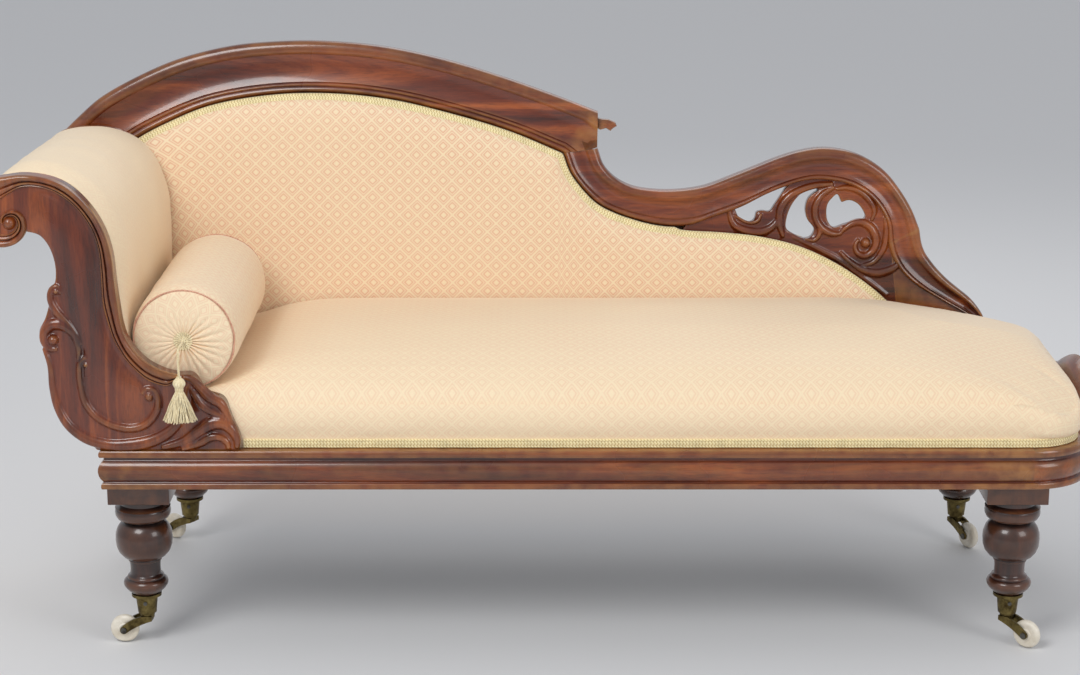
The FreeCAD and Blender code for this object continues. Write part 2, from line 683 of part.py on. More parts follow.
def seat_hessian():
    cavity = seat_cavity().BoundBox
    top = cavity.ZMax
    return box(cavity.XMin + 1.0, cavity.XMax - 1.0, cavity.YMin + 1.0, cavity.YMax - 1.0,
               top - hessian_thickness, top)


def seat_webbing():
    """Straps across and along the frame, tacked to the undersides of the rails."""
    top = rail_bottom
    low = top - webbing_thickness
    x0 = head_rail_inner + corner_block_size + 12.0
    x1 = foot_leg_x - corner_block_size - 12.0
    y0 = front_leg_y + corner_block_size + 12.0
    y1 = back_leg_y - corner_block_size - 12.0
    straps = []
    for i in range(webbing_columns):
        x = x0 + (i + 0.5) * (x1 - x0) / webbing_columns - webbing_width / 2.0
        straps.append(box(x, x + webbing_width, front_rail_inner - webbing_overlap,
                          back_rail_inner + webbing_overlap, low, top))
    for i in range(webbing_rows):
        y = y0 + (i + 0.5) * (y1 - y0) / webbing_rows - webbing_width / 2.0
        straps.append(box(head_rail_inner - webbing_overlap + 4.0, foot_rail_inner + webbing_overlap, y,
                          y + webbing_width, low, top))
    return straps[0].fuse(straps[1:]).removeSplitter()


def dust_cover():
    """The cloth tacked under the whole frame, with a notch for each leg's plinth."""
    top = rail_bottom - webbing_thickness
    plan = level_slab(seat_plan(cushion_inset + 4.0, head_rail_face + 4.0), top - dust_cover_thickness, top)
    notch = plinth_width / 2.0 + 1.0
    notches = []
    for x, y in leg_places.values():
        notches.append(box(x - notch, x + notch, y - notch, y + notch, top - 5.0, top + 5.0))
    return solid_nearest(plan.cut(notches), V(0, seat_mid_y, top))


def helix_point(turn, height):
    """A point on a spring's wire: hourglass shaped, wide at both ends."""
    share = turn / spring_turns
    radius = spring_waist_radius + (spring_end_radius - spring_waist_radius) * (2.0 * share - 1.0) ** 2
    angle = 2.0 * math.pi * turn
    return V(radius * math.cos(angle), radius * math.sin(angle), height * share)


def biarc(p0, t0, p1, t1):
    """Two arcs that leave p0 along t0, arrive at p1 along t1 and meet without a corner."""
    chord = p1 - p0
    tangents = t0 + t1
    spread = 2.0 * (1.0 - t0.dot(t1))
    reach = (math.sqrt(chord.dot(tangents) ** 2 + spread * chord.dot(chord)) - chord.dot(tangents)) / spread
    c0 = p0 + t0 * reach
    c1 = p1 - t1 * reach
    meeting = (c0 + c1) * 0.5
    arcs = []
    for start, control, end in ((p0, c0, meeting), (meeting, c1, p1)):
        half_chord = (end - start).Length / 2.0
        middle = (start + end) * 0.5
        rise = control - middle
        bow = half_chord * math.tan(math.atan2(rise.Length, half_chord) / 2.0)
        arcs.append(Part.Arc(start, middle + rise * (bow / rise.Length), end).toShape())
    return arcs


def coil_spring(height):
    """One seat spring: a single unbroken wire through biarcs of half a turn each."""
    step = 0.5
    small = 0.001
    arcs = []
    turn = 0.0
    while turn < spring_turns - small:
        ends = []
        for t in (turn, turn + step):
            ahead = helix_point(t + small, height) - helix_point(t - small, height)
            ends.append((helix_point(t, height), ahead.normalize()))
        arcs += biarc(ends[0][0], ends[0][1], ends[1][0], ends[1][1])
        turn += step
    path = Part.Wire(arcs)
    start = helix_point(0.0, height)
    along = (helix_point(small, height) - start).normalize()
    section = Part.Wire(Part.makeCircle(spring_wire_radius, start, along))
    return path.makePipeShell([section], True, False)


def seat_springs():
    cavity = seat_cavity().BoundBox
    low = rail_bottom + spring_wire_radius + 0.1
    high = cavity.ZMax - hessian_thickness - spring_wire_radius - 0.1
    spring = coil_spring(high - low)
    pitch = (high - low) / spring_turns
    print("spring wire's least gap to itself:", round(pitch - 2.0 * spring_wire_radius, 2), "mm")
    springs = []
    for i in range(spring_columns):
        for j in range(spring_rows):
            copy = spring.copy()
            copy.translate(V(cavity.XMin + (i + 0.5) * cavity.XLength / spring_columns,
                             cavity.YMin + (j + 0.5) * cavity.YLength / spring_rows, low))
            springs.append(copy)
    return springs


# Back: show-wood rails on two posts, with a padded panel inside them

def lip_slab(curve, front, back):
    """A lip along the inner side of a curve, rooted a little way into the wood behind it."""
    root = offset_points(curve, -lip_root)
    edge = offset_points(curve, rebate_width)
    return upright_slab([root, edge[::-1]], front, back)


def moulded_plank(outline, lip_curve):
    """A show-wood plank whose inner edge carries a set-back lip for the upholstery."""
    plank = upright_slab(outline, back_face_y, back_face_y + back_thickness)
    return plank.fuse(lip_slab(lip_curve, back_face_y + rebate_depth, back_face_y + back_thickness))


def back_frame():
    """The back's wooden pieces, upright; they are leaned together afterwards."""
    pieces = {}
    joint_top = top_outer_curve[-1]
    top_outline = [top_outer_curve, [joint_top, (760, 426), (762, 394)], [(762, 394), (700, 386)],
                   top_inner_curve, [(-160, 345), (-214, 418)]]
    top = moulded_plank(top_outline, top_inner_curve)
    stub = upright_slab([[(759, 450), (794, 439)], [(794, 439), (797, 432), (790, 426)],
                         [(790, 426), (759, 432)]], back_face_y + 12.0, back_face_y + 30.0)
    pieces["back_top_rail"] = top.fuse(stub)
    swept_outline = [[(700, 386), (762, 394)], swept_outer_curve, [(1352, 246), (1296, 218)],
                     swept_inner_curve]
    swept_lip = [p for p in swept_inner_curve if p[0] < 935]
    swept = moulded_plank(swept_outline, swept_lip)
    pieces["back_swept_rail"] = swept.cut(pieces["back_top_rail"])
    bracket = upright_slab([bracket_curve, [(1476, 80), (1476, -20)], [(1476, -20), (1312, -20)],
                            [(1312, -20), (1312, 99)], [(1312, 99), (1296, 218)],
                            [(1296, 218), (1352, 246)]], back_face_y, back_face_y + back_thickness)
    pieces["back_foot_bracket"] = bracket.cut(pieces["back_swept_rail"])
    carving_face = back_face_y + carving_setback
    carving_back = carving_face + carving_thickness
    inner_run = [p for p in swept_inner_curve if p[0] > 930]
    rooted_run = offset_points(inner_run, -lip_root)
    panel = upright_slab([rooted_run[::-1], [(1296, 218), (1312, 99)], panel_edge_curve], carving_face,
                         carving_back)
    lip = lip_slab(panel_edge_curve, carving_face, carving_back)
    volute_x = head_leg_x + 1250.0
    volute_z = rail_top + 222.0
    relief_top = carving_face - 5.0
    ring = pin(56.0, 6.0, V(volute_x, relief_top, volute_z), V(0, 1, 0))
    ring = ring.cut(pin(42.0, 6.0, V(volute_x, relief_top, volute_z), V(0, 1, 0)))
    boss = Part.makeCone(11.0, 17.0, 6.0, V(volute_x, relief_top, volute_z), V(0, 1, 0))
    holes = [upright_slab(hole, carving_face - 20.0, carving_back + 20.0)
             for hole in (large_leaf_hole, crescent_hole, loop_hole)]
    panel = panel.fuse([lip, ring, boss]).cut(holes)
    panel = panel.cut([pieces["back_swept_rail"], pieces["back_foot_bracket"]])
    pieces["back_loop_carving"] = solid_nearest(panel, V(volute_x, carving_face + 8.0, volute_z))
    return pieces


def inside_back_edge():
    """The upholstered panel's edge: along the top rail, the swept rail and the carved panel."""
    left = list(reversed(top_inner_curve))
    swept = [p for p in reversed(swept_inner_curve) if p[0] < 900]
    lower = [(914, 247)] + list(reversed(panel_edge_curve))[1:]
    return left, [(700, 386)] + swept[1:], lower


def back_panel_outline(inset, bottom):
    """The panel's outline, a distance inside the show wood, closed along a level line."""
    left, swept, lower = inside_back_edge()
    upper_run = [p for p in left if p[0] > -80]
    run_top = offset_points(upper_run, -inset)
    run_low = offset_points(swept[1:] + lower, -inset)
    beside_arm = [(24, bottom), (8, 122), (-24, 212), (-52, 330), (run_top[0][0] - 4.0, run_top[0][1] - 6.0)]
    return [beside_arm, run_top, run_low, [(run_low[-1][0], bottom), (24, bottom)]]


def back_posts(frame):
    """Two upright posts and the stay rail between them, fitted under the show wood."""
    front = back_face_y + post_setback
    back = back_face_y + back_thickness
    wood = [frame["back_top_rail"], frame["back_swept_rail"], frame["back_foot_bracket"],
            frame["back_loop_carving"]]
    head = upright_slab([[(-132, -20), (-77, -20)], [(-77, -20), (-77, 470)], [(-77, 470), (-132, 470)],
                         [(-132, 470), (-132, -20)]], front, back)
    head = solid_nearest(head.cut(wood), V(head_leg_x - 100.0, back_face_y + 20.0, rail_top))
    mid = upright_slab([[(560, -20), (612, -20)], [(612, -20), (612, 520)], [(612, 520), (560, 520)],
                        [(560, 520), (560, -20)]], front, back)
    mid = solid_nearest(mid.cut(wood), V(head_leg_x + 586.0, back_face_y + 20.0, rail_top))
    stays = []
    for x0, x1 in ((-77, 560), (612, 1312)):
        stays.append(upright_slab([[(x0, 50), (x1, 50)], [(x1, 50), (x1, 92)], [(x1, 92), (x0, 92)],
                                   [(x0, 92), (x0, 50)]], front, back).cut(wood))
    return head, mid, stays


def back_dowels():
    """Two dowels across the joint between the top rail and the swept rail."""
    joint = (V(head_leg_x + 700.0, back_face_y + back_thickness / 2.0, rail_top + 386.0),
             V(head_leg_x + 762.0, back_face_y + back_thickness / 2.0, rail_top + 394.0))
    along = (joint[1] - joint[0]).normalize()
    across = V(-along.z, 0, along.x)
    centre = (joint[0] + joint[1]) * 0.5
    dowels = []
    for side in (-1, 1):
        middle = centre + along * (side * 12.0)
        dowels.append((middle - across * (dowel_length / 2.0), across))
    return dowels


def back_webbing():
    """Straps behind the back's stuffing, tacked to the rebate."""
    region = upright_slab(back_panel_outline(rebate_width + soft_gap * 5.0, 60), back_face_y + rebate_depth,
                          back_face_y + rebate_depth + 2.0)
    straps = []
    far = 1400.0
    for i in range(8):
        x = -40.0 + i * 165.0
        straps.append(upright_slab([[(x, 0), (x + back_strap_width, 0)],
                                    [(x + back_strap_width, 0), (x + back_strap_width, 600)],
                                    [(x + back_strap_width, 600), (x, 600)], [(x, 600), (x, 0)]],
                                   back_face_y, back_face_y + 10.0))
    for level in (95.0, 200.0, 320.0):
        straps.append(upright_slab([[(-100, level), (far, level)], [(far, level), (far, level + back_strap_width)],
                                    [(far, level + back_strap_width), (-100, level + back_strap_width)],
                                    [(-100, level + back_strap_width), (-100, level)]],
                                   back_face_y, back_face_y + 10.0))
    return region.common(straps[0].fuse(straps[1:]))


def back_pad():
    """The back's stuffing: straight at its edge, then drawn in towards its proud face."""
    edge_y = back_face_y - 0.3 * back_pad_proud
    pad = upright_slab(back_panel_outline(gimp_width, 60), edge_y, back_face_y + rebate_depth)
    rings = []
    for inset, y in ((gimp_width, edge_y), (gimp_width + back_pad_proud, back_face_y - back_pad_proud)):
        face = closed_face(back_panel_outline(inset, 60),
                           lambda p: V(head_leg_x + p[0], y, rail_top + p[1]))
        rings.append(face.OuterWire)
    return pad.fuse(Part.makeLoft(rings, True, True))


def back_gimp():
    """The braid between the padded panel and the show wood."""
    outer = upright_slab(back_panel_outline(soft_gap * 4.0, 60), back_face_y - 1.0, back_face_y + rebate_depth)
    inner = upright_slab(back_panel_outline(gimp_width - 0.3, 60), back_face_y - 9.0, back_face_y + 9.0)
    inner = inner.fuse(upright_slab([[(-90, 0), (1400, 0)], [(1400, 0), (1400, 92)], [(1400, 92), (-90, 92)],
                                     [(-90, 92), (-90, 0)]], back_face_y - 9.0, back_face_y + 9.0))
    beside = upright_slab([[(-90, 0), (-71, 0)], [(-71, 0), (-71, 500)], [(-71, 500), (-90, 500)],
                           [(-90, 500), (-90, 0)]], back_face_y - 9.0, back_face_y + 9.0)
    return solid_nearest(outer.cut([inner, beside]), V(head_leg_x + 270.0, back_face_y, rail_top + 490.0))


def back_cover():
    """The cloth over the back of the frame."""
    front = back_face_y + back_thickness
    return upright_slab(back_panel_outline(-14.0, 2), front, front + back_cover_thickness)


# Scroll arm: a carved front scroll and a plain rear one, with the padded roll between them

def arm_scroll(front, back):
    return upright_slab([arm_top_curve, arm_leaf_curve, [(170, 0), (-60, 0)], arm_outside_curve,
                         arm_volute_curve], front, back)


def arm_front():
    """The front scroll with its raised edge moulding and volute."""
    plank = arm_scroll(arm_face_y, arm_plank_back_y)
    raised = arm_face_y - arm_moulding_relief
    band = upright_slab([arm_top_curve, [(76, 127), (73, 119)], arm_inner_curve, [(-193, 415), (-191, 450)]],
                        raised, arm_face_y)
    centre = V(head_leg_x - 196.0, raised, rail_top + 394.0)
    volute = pin(49.0, arm_moulding_relief, centre, V(0, 1, 0))
    volute = volute.cut(pin(27.0, arm_moulding_relief, centre, V(0, 1, 0))).common(arm_scroll(raised, arm_face_y))
    eye = Part.makeCone(8.0, 13.0, arm_moulding_relief, centre + V(14.0, 0, -14.0), V(0, 1, 0))
    return plank.fuse([band, volute, eye]).removeSplitter()


def arm_carving():
    """Applied scrolls and leaf on the front scroll's face."""
    raised = arm_face_y - arm_carving_relief
    limit = arm_scroll(raised, arm_face_y)
    pieces = []
    for along, up, outer, inner in ((-104, 190, 27.0, 14.0), (-25, 86, 52.0, 39.0)):
        centre = V(head_leg_x + along, raised, rail_top + up)
        ring = pin(outer, arm_carving_relief, centre, V(0, 1, 0))
        ring = ring.cut(pin(inner, arm_carving_relief, centre, V(0, 1, 0))).common(limit)
        pieces.append(ring)
    for along, up, radius in ((-104, 190, 8.0), (5, 86, 8.0)):
        centre = V(head_leg_x + along, raised, rail_top + up)
        pieces.append(Part.makeCone(radius * 0.6, radius, arm_carving_relief, centre, V(0, 1, 0)))
    leaf = upright_slab([[(84, 118), (108, 106), (122, 86), (144, 74), (158, 40), (160, 6)],
                         [(160, 6), (40, 6)], [(40, 6), (52, 40), (64, 84), (84, 118)]], raised, arm_face_y)
    pieces.append(leaf)
    return pieces


def arm_rear():
    """The plain rear scroll, screwed against the face of the back frame."""
    plank = arm_scroll(back_face_y - arm_plank_thickness, back_face_y)
    plank.translate(V(arm_rear_shift[0], 0, arm_rear_shift[1]))
    fuller = upright_slab([[(-400, -50), (11, -50)], [(11, -50), (2, 118), (-30, 210), (-60, 330), (-120, 460)],
                           [(-120, 460), (-400, 460)], [(-400, 460), (-400, -50)]],
                          back_face_y - arm_plank_thickness - 1.0, back_face_y + 1.0)
    seat_room = box(seat_head_x - soft_gap, foot_edge, front_edge, back_edge, rail_top - 1.0, rail_top + 200.0)
    return above_rail(leaned(plank.common(fuller))).cut(seat_room)


def arm_span_limit():
    """What lies in front of the rear scroll's leaning face, less a soft gap."""
    size = 1200.0
    front = arm_plank_back_y + soft_gap
    back = back_face_y - arm_plank_thickness - soft_gap
    block = box(head_leg_x - 400.0, head_leg_x + 400.0, front - size, back, rail_top - size, rail_top + size)
    ahead = box(head_leg_x - 400.0, head_leg_x + 400.0, front, back + size, rail_top, rail_top + size)
    return leaned(block).common(ahead)


def arm_pad():
    """The padded roll over the arm, down to the seat; it swells behind the scroll and sinks to the back."""
    rings = []
    for curve, y in ((arm_pad_front_curve, arm_plank_back_y), (arm_pad_swell_curve, arm_plank_back_y + arm_swell_depth),
                     (arm_pad_back_curve, back_face_y + 10.0), (arm_pad_back_curve, back_face_y + 60.0)):
        inner = offset_points(curve, -arm_pad_thickness)
        face = closed_face([curve, inner[::-1]], lambda p: V(head_leg_x + p[0], y, rail_top + p[1]))
        rings.append(face.OuterWire)
    return Part.makeLoft(rings, True, False).common(arm_span_limit())


def arm_cover():
    """The cloth on the outside of the arm."""
    inner = offset_points(arm_cover_curve, arm_cover_thickness)
    span = upright_slab([arm_cover_curve, inner[::-1]], arm_plank_back_y, back_face_y + 60.0)
    return span.common(arm_span_limit())


def arm_gimp():
    """The braid over the tacks of the arm's outside cloth, behind the front scroll."""
    front = arm_plank_back_y + soft_gap
    under = offset_points(arm_cover_curve, -2.0 * soft_gap)
    over = offset_points(arm_cover_curve, -2.0 * soft_gap - 2.5)
    return upright_slab([under, over[::-1]], front, front + 11.0)


def arm_rails():
    """Four bars between the scrolls that the cover and webbing are tacked to."""
    limit = leaned(box(head_leg_x - 400.0, head_leg_x + 400.0, -1200.0, back_face_y - arm_plank_thickness,
                       rail_top - 1200.0, rail_top + 1200.0))
    bars = []
    half = tacking_rail_width / 2.0
    deep = tacking_rail_depth / 2.0
    for along, up, tilt in ((-165, 389, 0.0), (-70, 320, 75.0), (-66, 150, 90.0), (-20, 12, 0.0)):
        bar = box(-half, half, arm_plank_back_y, back_face_y + 60.0, -deep, deep)
        bar.rotate(V(0, 0, 0), V(0, 1, 0), -tilt)
        bar.translate(V(head_leg_x + along, 0, rail_top + up))
        bars.append(bar.common(limit))
    return bars


# Bolster with a rosette at each end and a tassel at the front

def along_y(shape, x, y, z):
    """A shape turned about the vertical, laid along +Y from the point x, y, z."""
    result = shape.copy()
    result.rotate(V(0, 0, 0), V(1, 0, 0), -90)
    result.translate(V(x, y, z))
    return result


def bolster():
    """The stuffed roll: swelling body, seam rings and gathered ends drawn in to the middle."""
    radius = bolster_radius
    seam = radius - 7.0
    length = bolster_length
    bulge = bolster_end_bulge
    body = turned([
        [(0.0, -bulge + 5.0), (seam * 0.5, -bulge), (seam, 0.0)],
        [(seam, 0.0), (seam - 1.5, 2.5)],
        [(seam - 1.5, 2.5), (radius - 2.2, 17.7), (radius, 34.0)],
        [(radius, 34.0), (radius, length - 34.0)],
        [(radius, length - 34.0), (radius - 2.2, length - 17.7), (seam - 1.5, length - 2.5)],
        [(seam - 1.5, length - 2.5), (seam, length)],
        [(seam, length), (seam * 0.5, length + bulge), (0.0, length + bulge - 5.0)],
        [(0.0, length + bulge - 5.0), (0.0, -bulge + 5.0)],
    ])
    solid = along_y(body, bolster_x, bolster_front_y, bolster_z)
    return solid.cut([rosette(-1), rosette(1)])


def rosette(side):
    """A covered button at one end of the bolster, set into its gathers."""
    sunk = turned([
        [(0.0, -6.0), (rosette_radius - 4.0, -6.0)],
        [(rosette_radius - 4.0, -6.0), (rosette_radius, 2.0), (rosette_radius - 4.0, rosette_height - 2.0)],
        [(rosette_radius - 4.0, rosette_height - 2.0), (0.0, rosette_height)],
        [(0.0, rosette_height), (0.0, -6.0)],
    ])
    if side > 0:
        y = bolster_back_y + bolster_end_bulge - 4.0
        return along_y(sunk, bolster_x, y, bolster_z)
    sunk.rotate(V(0, 0, 0), V(1, 0, 0), 180)
    y = bolster_front_y - bolster_end_bulge + 4.0
    return along_y(sunk, bolster_x, y, bolster_z)


def tassel():
    """A cord out of the front rosette, down to a knotted head and a flared skirt."""
    start_y = bolster_front_y - bolster_end_bulge + 4.0 - rosette_height
    hang_y = arm_face_y - arm_moulding_relief - soft_gap - tassel_skirt_radius
    bend = 6.0
    cord = tassel_cord_radius
    centre = V(bolster_x, hang_y + bend, bolster_z - bend)
    out = pin(cord, start_y - (hang_y + bend), V(bolster_x, hang_y + bend, bolster_z), V(0, 1, 0))
    ring = Part.Face(Part.Wire(Part.makeCircle(cord, V(bolster_x, hang_y + bend, bolster_z), V(0, 1, 0))))
    elbow = ring.revolve(centre, V(1, 0, 0), 90)
    hem = bolster_z - tassel_drop
    skirt_top = hem + tassel_skirt_length
    body = turned([
        [(0.0, hem), (tassel_skirt_radius, hem)],
        [(tassel_skirt_radius, hem), (15.0, hem + 0.55 * tassel_skirt_length), (7.0, skirt_top - 4.0)],
        [(7.0, skirt_top - 4.0), (6.0, skirt_top)],
        [(6.0, skirt_top), (10.0, skirt_top + 7.0), (5.0, skirt_top + 14.0)],
        [(5.0, skirt_top + 14.0), (cord, skirt_top + 18.0)],
        [(cord, skirt_top + 18.0), (cord, bolster_z - bend)],
        [(cord, bolster_z - bend), (0.0, bolster_z - bend)],
        [(0.0, bolster_z - bend), (0.0, hem)],
    ], bolster_x, hang_y)
    return out.fuse([elbow, body])


# Low carved crest that rolls outwards over the foot rail

def foot_crest():
    inner = foot_rail_face
    outer = inner + crest_thickness
    top = rail_top + crest_height
    roll = crest_roll_radius
    lean = crest_lean
    section = closed_face([
        [(inner + 1.0, rail_top), (outer, rail_top)],
        [(outer, rail_top), (outer + 4.0, rail_top + 0.45 * crest_height), (outer + lean - 12.0, top - 2.0 * roll)],
        [(outer + lean - 12.0, top - 2.0 * roll), (outer + lean - 12.0 + roll, top - roll), (outer + lean - 12.0, top)],
        [(outer + lean - 12.0, top), (inner + 14.0, rail_top + 0.62 * crest_height), (inner + 1.0, rail_top)],
    ], lambda p: V(p[0], seat_mid_y - crest_length / 2.0, p[1]))
    slab = section.extrude(V(0, crest_length, 0))
    half = crest_length / 2.0
    arch = closed_face([
        [(-half, 0.0), (half, 0.0)],
        [(half, 0.0), (half - 6.0, 26.0), (half * 0.66, 40.0), (half * 0.4, 62.0), (0.0, crest_height + 1.0),
         (-half * 0.4, 62.0), (-half * 0.66, 40.0), (-half + 6.0, 26.0), (-half, 0.0)],
    ], lambda p: V(inner - 20.0, seat_mid_y + p[0], rail_top + p[1]))
    return slab.common(arch.extrude(V(150.0, 0, 0)))


os.makedirs("parts", exist_ok=True)

# Seat frame
screw_places = block_screw_places()
screw_holes = [block_screw(start, way, fit_clearance) for start, way in screw_places]
front_rail = box(head_rail_face, corner_x, front_rail_face, front_rail_inner, rail_bottom, rail_top)
back_rail = box(head_rail_face, corner_x, back_rail_inner, back_edge, rail_bottom, rail_top)
head_rail = box(head_rail_face, head_rail_inner, front_rail_inner, back_rail_inner, rail_bottom, rail_top)
foot_rail = box(foot_rail_inner, foot_rail_face, front_corner_y, back_corner_y, rail_bottom, rail_top)
save("front_seat_rail", front_rail.cut(screw_holes))
save("back_seat_rail", back_rail.cut(screw_holes))
save("head_seat_rail", head_rail)
save("foot_seat_rail", foot_rail)
save("front_rail_moulding", front_moulding())
save("head_rail_moulding", head_moulding())
save("foot_rail_moulding", foot_moulding())
save("corner_blocks", [block.cut(screw_holes) for block in corner_blocks()])
save("corner_block_screws", [block_screw(start, way, 0.0) for start, way in screw_places])

# Legs and castors
castor_screws = []
for corner, (leg_x, leg_y) in leg_places.items():
    direction = castor_headings[corner]
    hole = castor_screw(leg_x, leg_y, fit_clearance)
    save("leg_" + corner, leg(leg_x, leg_y).cut(hole))
    save("castor_cup_" + corner, castor_cup(leg_x, leg_y).cut(hole))
    save("castor_fork_" + corner, castor_fork(leg_x, leg_y, direction))
    save("castor_wheel_" + corner, castor_wheel(leg_x, leg_y, direction))
    save("castor_axle_" + corner, castor_axle(leg_x, leg_y, direction))
    castor_screws.append(castor_screw(leg_x, leg_y, 0.0).cut(castor_cup(leg_x, leg_y).cut(hole)))
save("castor_screws", castor_screws)

# Seat
save("seat_webbing", seat_webbing())
save("seat_springs", seat_springs())
save("seat_hessian", seat_hessian())
save("seat_pad", seat_pad())
save("seat_gimp", seat_gimp())
save("seat_dust_cover", dust_cover())

# Back
frame = back_frame()
head_post, mid_post, stay_rails = back_posts(frame)
dowels = [pin(dowel_radius, dowel_length, start, way) for start, way in back_dowels()]
dowel_bores = [pin(dowel_radius + fit_clearance, dowel_length + 1.0, start - way * 0.5, way)
               for start, way in back_dowels()]
for name, piece in frame.items():
    save(name, above_rail(leaned(piece.cut(dowel_bores))))
save("back_upright_head", above_rail(leaned(head_post)))
save("back_upright_mid", above_rail(leaned(mid_post)))
save("back_stay_rails", [leaned(stay) for stay in stay_rails])
save("back_dowels", [leaned(dowel) for dowel in dowels])
save("back_webbing", leaned(back_webbing().cut(list(frame.values()))))
save("back_pad", leaned(back_pad()))
save("back_gimp", leaned(back_gimp().cut(list(frame.values()))))
save("back_outside_cover", above_rail(leaned(back_cover())))

# Arm
save("arm_front_scroll", arm_front())
save("arm_carving", arm_carving())
save("arm_rear_scroll", arm_rear())
save("arm_tacking_rails", arm_rails())
save("arm_pad", arm_pad())
save("arm_outside_cover", arm_cover())
save("arm_gimp", arm_gimp())

# Bolster and foot crest
save("bolster", bolster())
save("bolster_rosette_front", rosette(-1))
save("bolster_rosette_rear", rosette(1))
save("bolster_tassel", tassel())
save("foot_crest", foot_crest())
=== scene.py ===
import bpy
import json
import math
import random
from mathutils import Matrix, Vector, kdtree, noise


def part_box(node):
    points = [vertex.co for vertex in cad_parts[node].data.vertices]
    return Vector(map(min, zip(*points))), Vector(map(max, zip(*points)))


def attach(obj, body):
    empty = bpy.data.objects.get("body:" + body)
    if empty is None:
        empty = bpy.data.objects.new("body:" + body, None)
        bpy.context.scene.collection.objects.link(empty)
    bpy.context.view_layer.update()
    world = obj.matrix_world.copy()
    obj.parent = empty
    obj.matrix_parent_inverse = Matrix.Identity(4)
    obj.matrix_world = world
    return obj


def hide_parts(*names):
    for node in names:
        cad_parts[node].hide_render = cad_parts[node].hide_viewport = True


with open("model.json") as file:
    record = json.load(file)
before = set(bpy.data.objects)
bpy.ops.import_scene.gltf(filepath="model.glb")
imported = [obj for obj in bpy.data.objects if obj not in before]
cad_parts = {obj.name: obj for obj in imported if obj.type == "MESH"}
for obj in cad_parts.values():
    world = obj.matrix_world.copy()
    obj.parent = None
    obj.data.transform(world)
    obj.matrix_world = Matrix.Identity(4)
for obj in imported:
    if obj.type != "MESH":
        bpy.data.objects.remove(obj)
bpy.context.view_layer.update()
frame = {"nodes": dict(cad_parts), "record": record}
random.seed(11)

# Places that the frame gives; the outlines below are millimetres along from the head leg and up from the rail
headLegX = sum(c.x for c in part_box("leg_front_head")) / 2
footLegX = sum(c.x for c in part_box("leg_front_foot")) / 2
railBottom, railTop = (c.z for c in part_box("front_seat_rail"))
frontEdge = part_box("front_rail_moulding")[0].y
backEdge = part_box("back_seat_rail")[1].y
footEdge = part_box("foot_rail_moulding")[1].x
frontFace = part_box("front_seat_rail")[0].y
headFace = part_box("head_seat_rail")[0].x
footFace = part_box("foot_seat_rail")[1].x
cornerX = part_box("front_seat_rail")[1].x
frontCornerY, backCornerY = (c.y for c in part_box("foot_seat_rail"))
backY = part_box("back_foot_bracket")[0].y  # face of the back's show wood, level with the rail top
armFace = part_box("arm_front_scroll")[1].y - 0.028
armPlankBack = armFace + 0.0284
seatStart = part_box("seat_pad")[0].x
rake = math.radians(5)

armTop = [(-191, 450), (-156, 454), (-112, 447), (-82, 431), (-52, 399), (-32, 362), (-22, 323), (-19, 284),
          (-16, 251), (-11, 210), (-3, 184), (21, 152), (51, 134), (76, 127)]
armInner = [(-193, 415), (-157, 434), (-116, 430), (-80, 407), (-53, 369), (-42, 333), (-40, 292),
            (-39, 243), (-32, 210), (-25, 186), (-15, 166), (-3, 147), (11, 132), (26, 119), (44, 111),
            (60, 109), (73, 119)]
armVolute = [(-166, 364), (-177, 356), (-197, 344), (-210, 339), (-226, 341), (-239, 352), (-248, 372),
             (-248, 394), (-240, 417), (-225, 434), (-207, 446), (-191, 450)]
armOutside = [(-60, 0), (-78, 22), (-98, 40), (-114, 60), (-124, 82), (-129, 106), (-129, 142), (-138, 177),
              (-143, 199), (-132, 222), (-123, 251), (-113, 284), (-112, 304), (-116, 326), (-124, 344),
              (-136, 357), (-166, 364)]
armLeaf = [(76, 127), (99, 126), (120, 97), (146, 86), (161, 55), (173, 22), (170, 0)]
armPadFront = [(-212, 434), (-188, 452), (-154, 456), (-111, 449), (-80, 433), (-50, 400), (-30, 362),
               (-20, 323), (-17, 284), (-14, 251), (-9, 210), (-6, 170), (-1, 130), (4, 96)]
armPadSwell = [(-214, 430), (-188, 453), (-150, 462), (-109, 455), (-75, 438), (-42, 404), (-20, 362),
               (-10, 323), (-8, 284), (-8, 251), (-8, 210), (-7, 170), (-1, 130), (4, 96)]
armPadBack = [(-230, 410), (-204, 430), (-156, 440), (-106, 435), (-66, 417), (-37, 388), (-20, 352),
              (-10, 312), (-8, 278), (-8, 244), (-8, 205), (-7, 168), (-1, 130), (4, 96)]
armCoverLine = [(-172, 372), (-134, 369), (-112, 350), (-100, 326), (-97, 300), (-100, 270), (-108, 240),
                (-112, 190), (-110, 130), (-100, 80), (-72, 36), (-44, 4)]
topOuter = [(-214, 418), (-175, 455), (-138, 486), (-65, 526), (8, 556), (99, 578), (180, 586), (262, 587),
            (370, 578), (478, 556), (586, 524), (694, 486), (763, 459)]
topInner = [(-160, 345), (-77, 410), (-13, 444), (61, 473), (170, 492), (278, 495), (387, 484), (495, 459),
            (604, 426), (700, 386)]
sweptOuter = [(762, 394), (773, 364), (794, 341), (826, 324), (867, 317), (913, 317), (958, 324),
              (1004, 341), (1049, 359), (1094, 377), (1130, 388), (1170, 394), (1212, 390), (1249, 377),
              (1286, 352), (1314, 319), (1337, 282), (1352, 246)]
sweptInner = [(700, 386), (714, 350), (745, 310), (767, 291), (795, 277), (826, 266), (859, 257),
              (895, 252), (932, 254), (968, 266), (1023, 286), (1077, 313), (1131, 333), (1168, 337),
              (1222, 328), (1265, 301), (1291, 260), (1296, 218)]
bracketOuter = [(1352, 246), (1357, 219), (1364, 202), (1373, 189), (1387, 172), (1406, 153),
                (1428, 135), (1447, 120), (1460, 106), (1470, 92), (1476, 80)]
